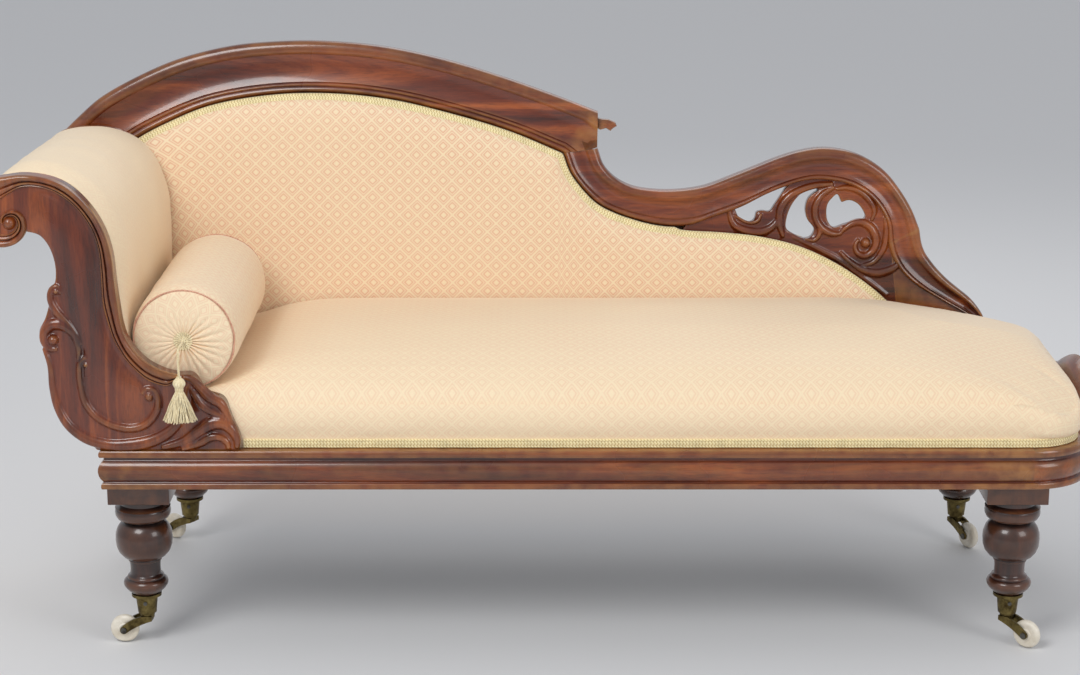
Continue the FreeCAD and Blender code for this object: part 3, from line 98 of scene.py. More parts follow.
bracketInner = [(1296, 218), (1303, 196), (1316, 174), (1335, 154), (1358, 137), (1385, 121),
                (1412, 106), (1436, 93), (1452, 83), (1462, 76), (1468, 71)]
panelEdge = [(914, 247), (932, 245), (987, 242), (1060, 234), (1133, 216), (1207, 181), (1273, 135),
             (1312, 99)]


# Lines, all worked out in millimetres

def mix(a, b, t):
    return tuple(p + (q - p) * t for p, q in zip(a, b))


def smooth(points, perSpan=10):  # a smooth line through given points
    pts = [tuple(float(v) for v in p) for p in points]
    run = [mix(pts[1], pts[0], 2)] + pts + [mix(pts[-2], pts[-1], 2)]
    line = []
    for p0, p1, p2, p3 in zip(run, run[1:], run[2:], run[3:]):
        t1 = max(math.dist(p0[:2], p1[:2]), 1e-3) ** 0.5
        t2 = t1 + max(math.dist(p1[:2], p2[:2]), 1e-3) ** 0.5
        t3 = t2 + max(math.dist(p2[:2], p3[:2]), 1e-3) ** 0.5
        for k in range(perSpan):
            t = t1 + (t2 - t1) * k / perSpan
            a1 = mix(p0, p1, t / t1)
            a2 = mix(p1, p2, (t - t1) / (t2 - t1))
            a3 = mix(p2, p3, (t - t2) / (t3 - t2))
            line.append(mix(mix(a1, a2, t / t2), mix(a2, a3, (t - t1) / (t3 - t1)), (t - t1) / (t2 - t1)))
    return line + [pts[-1]]


def lengthsAlong(line):
    total = [0.0]
    for a, b in zip(line, line[1:]):
        total.append(total[-1] + math.dist(a, b))
    return total


def evenly(line, count):  # the same line in equal steps
    total = lengthsAlong(line)
    result, j = [], 0
    for i in range(count):
        want = total[-1] * i / (count - 1)
        while j < len(line) - 2 and total[j + 1] < want:
            j += 1
        share = (want - total[j]) / max(total[j + 1] - total[j], 1e-9)
        result.append(mix(line[j], line[j + 1], min(max(share, 0), 1)))
    return result


def offset(line, distance):  # the line moved to its left
    moved = []
    for i, point in enumerate(line):
        a, b = line[max(i - 1, 0)], line[min(i + 1, len(line) - 1)]
        size = math.dist(a, b) or 1e-9
        moved.append((point[0] - (b[1] - a[1]) / size * distance, point[1] + (b[0] - a[0]) / size * distance))
    return moved


def ease(t):
    t = min(max(t, 0.0), 1.0)
    return t * t * (3 - 2 * t)


def lookUp(pairs, x):  # the value at x in given pairs
    if x <= pairs[0][0]:
        return pairs[0][1]
    for (x0, v0), (x1, v1) in zip(pairs, pairs[1:]):
        if x <= x1:
            return v0 + (v1 - v0) * (x - x0) / (x1 - x0)
    return pairs[-1][1]


def at(u, w, y):
    return Vector((headLegX + u / 1000, y, railTop + w / 1000))


def leaned(point):  # tips a point back with the couch's back
    y, z = point.y - backY, point.z - railTop
    return Vector((point.x, backY + y * math.cos(rake) + z * math.sin(rake),
                   railTop - y * math.sin(rake) + z * math.cos(rake)))


# Meshes

def pick(*objs):
    bpy.ops.object.select_all(action="DESELECT")
    for o in objs:
        o.select_set(True)
    bpy.context.view_layer.objects.active = objs[0]


def faceOutwards(obj):
    pick(obj)
    bpy.ops.object.mode_set(mode="EDIT")
    bpy.ops.mesh.select_all(action="SELECT")
    bpy.ops.mesh.remove_doubles(threshold=1e-6)
    bpy.ops.mesh.normals_make_consistent(inside=False)
    bpy.ops.object.mode_set(mode="OBJECT")


def loft(name, rings, closed=True, capped=True):  # a skin over rings; its UV is metres along and round
    count = len(rings[0])
    verts = [p for ring in rings for p in ring]
    faces = []
    for i in range(len(rings) - 1):
        for j in range(count if closed else count - 1):
            a, b = i * count + j, i * count + (j + 1) % count
            faces.append((a, b, b + count, a + count))
    quads = len(faces)
    if closed and capped:
        faces.append(tuple(range(count - 1, -1, -1)))
        faces.append(tuple(range((len(rings) - 1) * count, len(rings) * count)))
    mesh = bpy.data.meshes.new(name)
    mesh.from_pydata(verts, [], faces)
    middle = count // 2
    along = lengthsAlong([tuple(ring[middle]) for ring in rings])
    around = [lengthsAlong([tuple(p) for p in ring] + [tuple(ring[0])]) for ring in rings]
    uv = mesh.uv_layers.new(name="run").data
    for f, face in enumerate(mesh.polygons):
        for k, loopIndex in enumerate(face.loop_indices):
            v = mesh.loops[loopIndex].vertex_index
            i, j = divmod(v, count)
            if f < quads and j == 0 and k in (1, 2) and closed:
                j = count
            uv[loopIndex].uv = (along[i], around[i][j])
    obj = bpy.data.objects.new(name, mesh)
    bpy.context.collection.objects.link(obj)
    if closed:
        pick(obj)
        bpy.ops.object.mode_set(mode="EDIT")
        bpy.ops.mesh.select_all(action="SELECT")
        bpy.ops.mesh.normals_make_consistent(inside=False)
        bpy.ops.object.mode_set(mode="OBJECT")
    return obj


def plank(name, loops, front, back, bevel=0.0015, tip=False):  # a board cut to an outline, with holes
    curve = bpy.data.curves.new(name, "CURVE")
    curve.dimensions = "2D"
    curve.fill_mode = "BOTH"
    for loop in loops:
        spline = curve.splines.new("POLY")
        spline.points.add(len(loop) - 1)
        for point, (u, w) in zip(spline.points, loop):
            point.co = (headLegX + u / 1000, railTop + w / 1000, 0, 1)
        spline.use_cyclic_u = True
    curve.extrude = (back - front) / 2 - bevel
    curve.bevel_depth = bevel
    curve.bevel_resolution = 1
    curve.offset = -bevel
    obj = bpy.data.objects.new(name, curve)
    bpy.context.collection.objects.link(obj)
    pick(obj)
    bpy.ops.object.convert(target="MESH")
    obj = bpy.context.object
    obj.data.transform(Matrix(((1, 0, 0, 0), (0, 0, -1, (front + back) / 2), (0, 1, 0, 0), (0, 0, 0, 1))))
    if tip:
        tipBack(obj)
    faceOutwards(obj)
    return obj


def tipBack(obj):
    for v in obj.data.vertices:
        v.co = leaned(v.co)


def ridge(name, points, rise, face, tip=False):  # a tapering carved stem: along, up, half width
    line = evenly(smooth(points), max(12, int(lengthsAlong(smooth(points))[-1] / 3)))
    section = [(-1, -0.5), (-1, 0), (-0.87, 0.5), (-0.5, 0.87), (0, 1), (0.5, 0.87), (0.87, 0.5), (1, 0),
               (1, -0.5)]
    widest = max(p[2] for p in points)
    rings = []
    for i, (u, w, half) in enumerate(line):
        a, b = line[max(i - 1, 0)], line[min(i + 1, len(line) - 1)]
        size = math.dist(a[:2], b[:2]) or 1e-9
        side = (-(b[1] - a[1]) / size, (b[0] - a[0]) / size)
        high = rise * (0.35 + 0.65 * half / widest)
        ring = [at(u + side[0] * s * half, w + side[1] * s * half, face - h * high / 1000) for s, h in section]
        rings.append([leaned(p) for p in ring] if tip else ring)
    return loft(name, rings)


def dome(name, u, w, radius, rise, face, tip=False):  # the button in a scroll's eye
    centre = at(u, w, face)
    bpy.ops.object.select_all(action="DESELECT")
    bpy.ops.mesh.primitive_uv_sphere_add(segments=24, ring_count=12, radius=radius / 1000, location=centre)
    obj = bpy.context.object
    obj.name = name
    bpy.ops.object.transform_apply(location=True, rotation=True, scale=True)
    for v in obj.data.vertices:
        v.co.y = centre.y + (v.co.y - centre.y) * rise / radius
    if tip:
        tipBack(obj)
    return obj


def modify(obj, kind, **settings):  # adds a modifier and applies it
    pick(obj)
    made = obj.modifiers.new(kind.lower(), kind)
    for key, value in settings.items():
        setattr(made, key, value)
    bpy.ops.object.modifier_apply(modifier=made.name)
    return obj


def joined(name, *parts):
    pick(*parts)
    bpy.ops.object.join()
    bpy.context.object.name = name
    return bpy.context.object


def meltTogether(name, parts, voxel, rounds=2):  # parts grow into one carved piece
    obj = joined(name, *parts)
    modify(obj, "REMESH", mode="VOXEL", voxel_size=voxel, use_smooth_shade=True)
    if rounds:
        modify(obj, "SMOOTH", factor=0.5, iterations=rounds)
    return obj


def finished(obj, material, replaces=(), body="root", angle=40):
    obj.data.materials.clear()
    obj.data.materials.append(material)
    pick(obj)
    bpy.ops.object.shade_smooth_by_angle(angle=math.radians(angle))
    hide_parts(*replaces)
    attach(obj, body)
    return obj


# Materials

def newMaterial(name):
    material = bpy.data.materials.new(name)
    material.use_nodes = True
    return material, material.node_tree, material.node_tree.nodes["Principled BSDF"]


def addNode(tree, kind, inputs=None, **settings):
    made = tree.nodes.new("ShaderNode" + kind)
    for key, value in settings.items():
        setattr(made, key, value)
    for key, value in (inputs or {}).items():
        if isinstance(value, bpy.types.NodeSocket):
            tree.links.new(value, made.inputs[key])
        else:
            made.inputs[key].default_value = value
    return made


def ramp(tree, factor, stops):
    made = addNode(tree, "ValToRGB", {"Fac": factor})
    elements = made.color_ramp.elements
    while len(elements) < len(stops):
        elements.new(0.5)
    for element, (place, colour) in zip(elements, stops):
        element.position = place
        element.color = colour if isinstance(colour, tuple) else (colour, colour, colour, 1)
    return made.outputs["Color"]


def blendColour(tree, kind, factor, a, b):
    made = addNode(tree, "Mix", data_type="RGBA", blend_type=kind, clamp_factor=True)
    for socket, value in ((made.inputs[0], factor), (made.inputs[6], a), (made.inputs[7], b)):
        if isinstance(value, bpy.types.NodeSocket):
            tree.links.new(value, socket)
        else:
            socket.default_value = value
    return made.outputs[2]


def maths(tree, operation, a, b=0.0, c=0.0):
    return addNode(tree, "Math", {0: a, 1: b, 2: c}, operation=operation).outputs[0]


def dress(tree, shader, colour, height, strength, distance):  # the colour and the bump of a finish
    tree.links.new(colour, shader.inputs["Base Color"])
    bump = addNode(tree, "Bump", {"Height": height, "Strength": strength, "Distance": distance})
    tree.links.new(bump.outputs[0], shader.inputs["Normal"])


def sheen(shader, roughness, weight, spread=None):  # the soft finish of thread
    shader.inputs["Roughness"].default_value = roughness
    shader.inputs["Sheen Weight"].default_value = weight
    if spread:
        shader.inputs["Sheen Roughness"].default_value = spread


def rgb(red, green, blue):  # a colour read as sRGB, 0 to 255
    def linear(c):
        c /= 255
        return c / 12.92 if c <= 0.04045 else ((c + 0.055) / 1.055) ** 2.4
    return (linear(red), linear(green), linear(blue), 1)


mahogany = {
    "dark": rgb(46, 15, 7),
    "middle": rgb(106, 42, 15),
    "light": rgb(168, 86, 34),
    "worn": rgb(160, 106, 52),
    # painted shade: the colour that crevices and recesses darken towards
    "creviceShade": rgb(20, 7, 5),
    "wear": 0.85,
    "roughness": 0.27,
}
darkMahogany = dict(mahogany, dark=rgb(24, 12, 9), middle=rgb(54, 27, 17), light=rgb(92, 46, 24),
                    worn=rgb(120, 72, 40), wear=0.6, roughness=0.3)
beech = dict(mahogany, dark=rgb(150, 110, 70), middle=rgb(185, 145, 98), light=rgb(205, 168, 120),
             worn=rgb(190, 150, 100), creviceShade=rgb(90, 62, 38), wear=0.2, roughness=0.62)


def woodMaterial(name, look, grain, polish=0.6):  # grain is the axis that the fibres run along
    material, tree, shader = newMaterial(name)
    place = addNode(tree, "TexCoord").outputs["Object"]
    stretch = [11.0, 11.0, 11.0]
    stretch["XYZ".index(grain)] = 1.1
    broad = addNode(tree, "Mapping", {"Vector": place, "Scale": stretch}).outputs[0]
    fine = addNode(tree, "Mapping", {"Vector": place, "Scale": [s * 22 for s in stretch]}).outputs[0]
    figure = addNode(tree, "TexNoise", {"Vector": broad, "Scale": 1.6, "Detail": 7, "Roughness": 0.62,
                                        "Distortion": 1.1}).outputs["Fac"]
    pores = addNode(tree, "TexNoise", {"Vector": fine, "Scale": 1.7, "Detail": 3, "Roughness": 0.6})
    pores = pores.outputs["Fac"]
    cloudy = addNode(tree, "TexNoise", {"Vector": place, "Scale": 5.5, "Detail": 3}).outputs["Fac"]
    colour = ramp(tree, figure, [(0.3, look["dark"]), (0.5, look["middle"]), (0.72, look["light"])])
    colour = blendColour(tree, "MULTIPLY", 0.55, colour, ramp(tree, pores, [(0.32, 0.45), (0.52, 1.0)]))
    colour = blendColour(tree, "MULTIPLY", 0.6, colour, ramp(tree, cloudy, [(0.3, 0.6), (0.62, 1.1)]))
    point = addNode(tree, "NewGeometry").outputs["Pointiness"]
    rubbed = addNode(tree, "TexNoise", {"Vector": place, "Scale": 34, "Detail": 4}).outputs["Fac"]
    edge = maths(tree, "MULTIPLY", ramp(tree, point, [(0.505, 0.0), (0.56, look["wear"])]),
                 ramp(tree, rubbed, [(0.35, 0.25), (0.6, 1.0)]))
    colour = blendColour(tree, "MIX", edge, colour, look["worn"])
    # painted shade: ambient occlusion darkens the colour in crevices and recesses
    shade = addNode(tree, "AmbientOcclusion", {"Distance": 0.016}, samples=8, only_local=True).outputs["AO"]
    colour = blendColour(tree, "MIX", ramp(tree, shade, [(0.25, 0.85),
                                                         (0.8, 0.0)]), colour, look["creviceShade"])
    rough = maths(tree, "MULTIPLY_ADD", cloudy, 0.22, look["roughness"] - 0.1)
    tree.links.new(rough, shader.inputs["Roughness"])
    shader.inputs["Coat Weight"].default_value = polish
    shader.inputs["Coat Roughness"].default_value = 0.09
    dress(tree, shader, colour, pores, 0.25, 0.0004)
    return material


damask = {
    "ground": rgb(248, 226, 190),
    "figure": rgb(230, 168, 132),
    "pitch": (0.0323, 0.031),  # one diamond, across and up
    "strength": 1.0,
}


def damaskMaterial(name, look, coordinates="UV", axes=(0, 1)):  # nested diamonds woven in coral on cream
    material, tree, shader = newMaterial(name)
    place = addNode(tree, "TexCoord").outputs[coordinates]
    wobble = addNode(tree, "TexNoise", {"Vector": place, "Scale": 9, "Detail": 1}).outputs["Color"]
    place = addNode(tree, "MixRGB", {"Fac": 0.0035, "Color1": place, "Color2": wobble}).outputs[0]
    parts = addNode(tree, "SeparateXYZ", {0: place}).outputs
    a = maths(tree, "DIVIDE", parts[axes[0]], look["pitch"][0])
    b = maths(tree, "DIVIDE", parts[axes[1]], look["pitch"][1])
    cell = []
    for way in ("ADD", "SUBTRACT"):
        step = maths(tree, "FRACT", maths(tree, way, a, b))
        cell.append(maths(tree, "MULTIPLY", maths(tree, "ABSOLUTE", maths(tree, "SUBTRACT", step, 0.5)), 2.0))
    ring = maths(tree, "SMOOTH_MAX", cell[0], cell[1], 0.22)
    figure = ramp(tree, ring, [(0.0, 0.0), (0.3, 0.0), (0.42, 0.8), (0.5, 0.8), (0.58, 0.15),
                               (0.66, 0.1), (0.74, 0.7), (0.82, 0.6), (0.9, 0.0)])
    thread = addNode(tree, "TexNoise", {"Vector": place, "Scale": 420, "Detail": 2}).outputs["Fac"]
    faded = addNode(tree, "TexNoise", {"Vector": place, "Scale": 4, "Detail": 2}).outputs["Fac"]
    drift = maths(tree, "MULTIPLY_ADD", faded, 0.5, look["strength"] - 0.25)
    strength = maths(tree, "MULTIPLY", figure, drift)
    strength = maths(tree, "MULTIPLY", strength, ramp(tree, thread, [(0.3, 0.7), (0.6, 1.0)]))
    colour = blendColour(tree, "MIX", strength, look["ground"], look["figure"])
    colour = blendColour(tree, "MULTIPLY", 0.35, colour, ramp(tree, thread, [(0.3, 0.88), (0.7, 1.0)]))
    sheen(shader, 0.62, 0.25, 0.4)
    weave = addNode(tree, "TexWave", {"Vector": place, "Scale": 210, "Distortion": 1.0},
                    bands_direction="DIAGONAL")
    height = maths(tree, "ADD", maths(tree, "MULTIPLY", figure, 0.5),
                   maths(tree, "MULTIPLY", weave.outputs["Fac"], 0.5))
    dress(tree, shader, colour, height, 0.3, 0.0005)
    return material


def braidMaterial(name, light, dark):  # plaited braid; its UV runs along and across
    material, tree, shader = newMaterial(name)
    place = addNode(tree, "TexCoord").outputs["UV"]
    along, across, _ = addNode(tree, "SeparateXYZ", {0: place}).outputs
    lean = maths(tree, "FRACT", maths(tree, "MULTIPLY", across, 150))
    lean = maths(tree, "ABSOLUTE", maths(tree, "SUBTRACT", lean, 0.5))
    step = maths(tree, "FRACT", maths(tree, "ADD", maths(tree, "MULTIPLY", along, 190), lean))
    thread = maths(tree, "PINGPONG", step, 0.5)
    wear = addNode(tree, "TexNoise", {"Vector": place, "Scale": 60, "Detail": 3}).outputs["Fac"]
    colour = ramp(tree, thread, [(0.04, dark), (0.3, light)])
    colour = blendColour(tree, "MULTIPLY", 0.5, colour, ramp(tree, wear, [(0.3, 0.75), (0.6, 1.05)]))
    sheen(shader, 0.7, 0.3)
    dress(tree, shader, colour, thread, 0.8, 0.0012)
    return material


def clothMaterial(name, light, dark, perMetre):  # plain weave, so many pairs of threads a metre
    material, tree, shader = newMaterial(name)
    place = addNode(tree, "TexCoord").outputs["Object"]
    parts = addNode(tree, "SeparateXYZ", {0: place}).outputs
    threads = [maths(tree, "PINGPONG", maths(tree, "MULTIPLY", parts[i], perMetre), 0.5) for i in (0, 1)]
    over = maths(tree, "MULTIPLY", threads[0], threads[1])
    speckle = addNode(tree, "TexNoise", {"Vector": place, "Scale": 45, "Detail": 5}).outputs["Fac"]
    colour = ramp(tree, maths(tree, "MULTIPLY_ADD", speckle, 0.6, over), [(0.25, dark), (0.55, light)])
    shader.inputs["Roughness"].default_value = 0.85
    dress(tree, shader, colour, over, 0.6, 0.0006)
    return material


def silkMaterial(name, light, dark):  # fine floss; threads carry the shape, so the colour only drifts, apart from painted shade in the hollows
    material, tree, shader = newMaterial(name)
    place = addNode(tree, "TexCoord").outputs["Object"]
    streak = addNode(tree, "Mapping", {"Vector": place, "Scale": (900, 900, 60)}).outputs[0]
    floss = addNode(tree, "TexNoise", {"Vector": streak, "Scale": 1.0, "Detail": 3}).outputs["Fac"]
    # painted shade: ambient occlusion darkens the floss in its hollows
    shade = addNode(tree, "AmbientOcclusion", {"Distance": 0.006}, samples=8).outputs["AO"]
    colour = ramp(tree, floss, [(0.3, dark), (0.6, light)])
    colour = blendColour(tree, "MULTIPLY", 0.8, colour, ramp(tree, shade, [(0.1, 0.45), (0.7, 1.0)]))
    sheen(shader, 0.5, 0.3)
    dress(tree, shader, colour, floss, 0.5, 0.0004)
    return material


def metalMaterial(name, light, dark, metallic, roughness, scale=70):
    material, tree, shader = newMaterial(name)
    place = addNode(tree, "TexCoord").outputs["Object"]
    stain = addNode(tree, "TexNoise", {"Vector": place, "Scale": scale, "Detail": 6, "Roughness": 0.65})
    stain = stain.outputs["Fac"]
    # painted shade: ambient occlusion darkens the colour in hollows
    shade = addNode(tree, "AmbientOcclusion", {"Distance": 0.006}, samples=8).outputs["AO"]
    colour = ramp(tree, stain, [(0.35, dark), (0.65, light)])
    colour = blendColour(tree, "MULTIPLY", 0.8, colour, ramp(tree, shade, [(0.2, 0.35), (0.8, 1.0)]))
    tree.links.new(maths(tree, "MULTIPLY_ADD", stain, 0.25, roughness - 0.12), shader.inputs["Roughness"])
    shader.inputs["Metallic"].default_value = metallic
    dress(tree, shader, colour, stain, 0.2, 0.0005)
    return material


woodAlong = woodMaterial("mahoganyAlong", mahogany, "X")
woodDeep = woodMaterial("mahoganyDeep", mahogany, "Y")
woodUpright = woodMaterial("mahoganyUpright", mahogany, "Z")
legWood = woodMaterial("darkMahogany", darkMahogany, "Z")
beechWood = woodMaterial("beech", beech, "X", polish=0.0)
coverCloth = damaskMaterial("damaskSeat", dict(damask, strength=0.38))
armCloth = damaskMaterial("damaskArm", dict(damask, strength=0.15))
bolsterCloth = damaskMaterial("damaskBolster", dict(damask, strength=0.5))
backCloth = damaskMaterial("damaskBack", dict(damask, strength=0.9))
flatCloth = damaskMaterial("damaskFlat", dict(damask, strength=0.8), "Object", (0, 2))
braid = braidMaterial("gimpBraid", rgb(250, 236, 186), rgb(206, 180, 118))
seamCord = silkMaterial("seamCord", rgb(224, 168, 138), rgb(176, 112, 84))
silk = silkMaterial("tasselSilk", rgb(250, 236, 196), rgb(214, 188, 136))
brass = metalMaterial("agedBrass", rgb(138, 122, 76), rgb(70, 58, 34), 1.0, 0.42)
steel = metalMaterial("dullSteel", rgb(120, 118, 112), rgb(62, 58, 54), 1.0, 0.5)
ceramic = metalMaterial("glazedCeramic", rgb(240, 233, 218), rgb(214, 202, 180), 0.0, 0.24, 30)
webCloth = clothMaterial("webbing", rgb(176, 150, 112), rgb(104, 84, 58), 500)
hessianCloth = clothMaterial("hessian", rgb(168, 142, 100), rgb(92, 72, 46), 600)
liningCloth = clothMaterial("lining", rgb(52, 50, 50), rgb(24, 23, 24), 900)
print("materials made")


# Seat frame mouldings

railMoulding = {
    "section": [(0, 0), (15, 0), (16, 1.2), (16.6, 4.5), (16.2, 8.2), (15, 9.8), (13.2, 10.6),
                (12.4, 11.8), (13.6, 13.5), (16.6, 18), (18.9, 24), (20, 31), (19.5, 37), (17.4, 42),
                (14.8, 45.4), (12.6, 47), (11.2, 49), (10.8, 51), (11.2, 53), (13, 53.6), (17, 54.4),
                (18.2, 57), (18.4, 60), (17.8, 63), (16.4, 65), (14.4, 65.5),
                (0, 65.5)],  # out from the rail's face, up from its bottom
    "cornerSteps": 18,
}


def mouldingRing(x, y, outX, outY):
    return [Vector((x + outX * out / 1000, y + outY * out / 1000, railBottom + up / 1000))
            for out, up in railMoulding["section"]]


def railMouldings():
    radius = footFace - cornerX
    front = [mouldingRing(headFace, frontFace, -1, -1)]
    for i in range(16):
        front.append(mouldingRing(headFace + 0.001 + (cornerX - headFace - 0.001) * i / 15, frontFace, 0, -1))
    finished(loft("frontRailMoulding", front), woodAlong, ["front_rail_moulding"])
    steps = railMoulding["cornerSteps"]
    turns = []
    for centreY, first in ((frontCornerY, -90), (backCornerY, 0)):
        for i in range(steps + 1):
            angle = math.radians(first + 90 * i / steps)
            c, s = math.cos(angle), math.sin(angle)
            turns.append(mouldingRing(cornerX + radius * c, centreY + radius * s, c, s))
    finished(loft("footRailMoulding", turns), woodDeep, ["foot_rail_moulding"])
    head = [mouldingRing(headFace, frontFace, -1, -1), mouldingRing(headFace, frontFace + 0.001, -1, 0),
            mouldingRing(headFace, backEdge, -1, 0)]
    finished(loft("headRailMoulding", head), woodDeep, ["head_rail_moulding"])


railMouldings()
print("rail mouldings made")


# Turned legs

legTurning = {
    "profile": [(12, 56.8), (15.5, 89.6), (22.5, 89.8), (25, 91), (29, 95), (33.5, 99.5), (36.4, 104.5),
                (36.9, 108.5), (35.6, 112.5), (32, 115.6), (30.2, 116.4), (30.6, 118.4), (29.4, 120.6),
                (26.5, 122), (25.2, 125), (24.9, 132), (25.1, 140), (26, 146.5), (27.5, 147.3),
                (27.9, 149.4), (27.2, 151), (29, 151.5), (36, 156), (42.5, 164), (46, 174), (47, 185.5),
                (46.2, 196), (43, 205.5), (38, 212.5), (32.5, 216.5), (31.2, 218), (32.5, 219),
                (38, 220), (42.6, 223), (45.2, 228), (45.9, 233), (45.2, 238), (44.5, 239.5), (45.6, 241),
                (42.6, 243), (38.5, 246), (37, 247), (37, 255.5)],  # radius, height
    "plinth": (0.101, 0.082),
    "plinthLow": 255,
    "edge": 1.6,
}


def turnedLeg(corner):
    low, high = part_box("leg_" + corner)
    x, y = (low.x + high.x) / 2, (low.y + high.y) / 2
    profile = [(r / 1000, z / 1000) for r, z in legTurning["profile"]]
    bpy.ops.object.select_all(action="DESELECT")
    bpy.ops.mesh.primitive_circle_add(vertices=56, radius=profile[0][0], fill_type="NGON",
                                      location=(x, y, profile[0][1]))
    leg = bpy.context.object
    leg.name = "leg" + corner.title().replace("_", "")
    bpy.ops.object.transform_apply(location=True, rotation=True, scale=True)
    bpy.ops.object.mode_set(mode="EDIT")
    bpy.ops.mesh.select_all(action="SELECT")
    for (r0, z0), (r1, z1) in zip(profile, profile[1:]):
        bpy.ops.mesh.extrude_region_move(TRANSFORM_OT_translate={"value": (0, 0, z1 - z0)})
        bpy.ops.transform.resize(value=(r1 / r0, r1 / r0, 1), center_override=(x, y, z1))
    bpy.ops.object.mode_set(mode="OBJECT")
    faceOutwards(leg)
    wide, deep = legTurning["plinth"]
    low = legTurning["plinthLow"] / 1000
    bpy.ops.object.select_all(action="DESELECT")
    bpy.ops.mesh.primitive_cube_add(size=1, location=(x, y, (low + railBottom) / 2),
                                    scale=(wide, deep, railBottom - low))
    plinth = bpy.context.object
    bpy.ops.object.transform_apply(location=True, rotation=True, scale=True)
    modify(plinth, "BEVEL", width=legTurning["edge"] / 1000, segments=3)
    leg = joined(leg.name, leg, plinth)
    finished(leg, legWood, ["leg_" + corner], angle=50)


for corner in ("front_head", "front_foot", "back_head", "back_foot"):
    turnedLeg(corner)
print("legs turned")


# Back: show wood

topRail = {
    "section": [(0.0, 45), (-0.012, 34), (-0.016, 24), (-0.012, 14), (0.0, 7), (0.03, 3), (0.08, 0.8),
                (0.14, 0), (0.2, 0.6), (0.235, 2.2), (0.25, 3.6), (0.3, 4.6), (0.38, 5.8), (0.48, 6.6),
                (0.58, 6.2), (0.68, 4.6), (0.75, 2.6), (0.785, 1.4), (0.8, 2.6), (0.815, 1.2),
                (0.84, 0.2), (0.865, 1.2), (0.88, 2.8), (0.9, 1.4), (0.93, 0.6), (0.96, 1.6), (0.98, 3.6),
                (1.0, 6), (1.0, 45)],  # share across, mm behind the face
    "rings": 130,
}
sweptRail = {
    "section": [(0.0, 45), (-0.015, 34), (-0.02, 24), (-0.014, 14), (0.0, 7), (0.04, 3), (0.1, 0.8),
                (0.18, 0), (0.26, 0.7), (0.31, 2.4), (0.34, 3.8), (0.42, 5.4), (0.54, 6.8), (0.66, 6.4),
                (0.75, 4.4), (0.8, 3.4), (0.83, 4.2), (0.85, 2.4), (0.885, 0.9), (0.92, 0.6),
                (0.955, 1.6), (0.98, 3.6), (1.0, 6.5), (1.0, 45)],
    "rings": 190,
}


def strip(name, outer, inner, section, lastEdge=None, firstEdge=None):  # a moulded board between two lines
    rings = []
    for i, (a, b) in enumerate(zip(outer, inner)):
        rings.append([leaned(at(*mix(a, b, t), backY + d / 1000)) for t, d in section])
    if firstEdge:
        rings.insert(0, [leaned(at(*firstEdge(t), backY + d / 1000)) for t, d in section])
    if lastEdge:
        rings.append([leaned(at(*lastEdge(t), backY + d / 1000)) for t, d in section])
    return loft(name, rings)


def jointEdge(t):  # the top rail's end: plumb, then along the joint
    corner, start, end = (762, 394), (763, 459), (700, 386)
    return mix(start, corner, t / 0.5) if t < 0.5 else mix(corner, end, (t - 0.5) / 0.5)


def backShowWood():
    count = topRail["rings"]
    top = strip("backTopRail", evenly(smooth(topOuter), count)[:-1], evenly(smooth(topInner), count)[:-1],
                topRail["section"], lastEdge=jointEdge)
    stub = plank("stub", [[(757, 452), (770, 447), (783, 446), (795, 441), (798, 434), (791, 430),
                           (786, 425), (778, 430), (768, 427),
                           (757, 432)]], backY + 0.012, backY + 0.03, 0.003, tip=True)
    top = joined("backTopRail", top, stub)
    finished(top, woodAlong, ["back_top_rail"], angle=32)
    count = sweptRail["rings"]
    outer = evenly(smooth(sweptOuter), count)
    inner = evenly(smooth(sweptInner), count)
    swept = strip("backSweptRail", outer, inner, sweptRail["section"])
    finished(swept, woodAlong, ["back_swept_rail"], angle=32)


backShowWood()
print("back rails made")

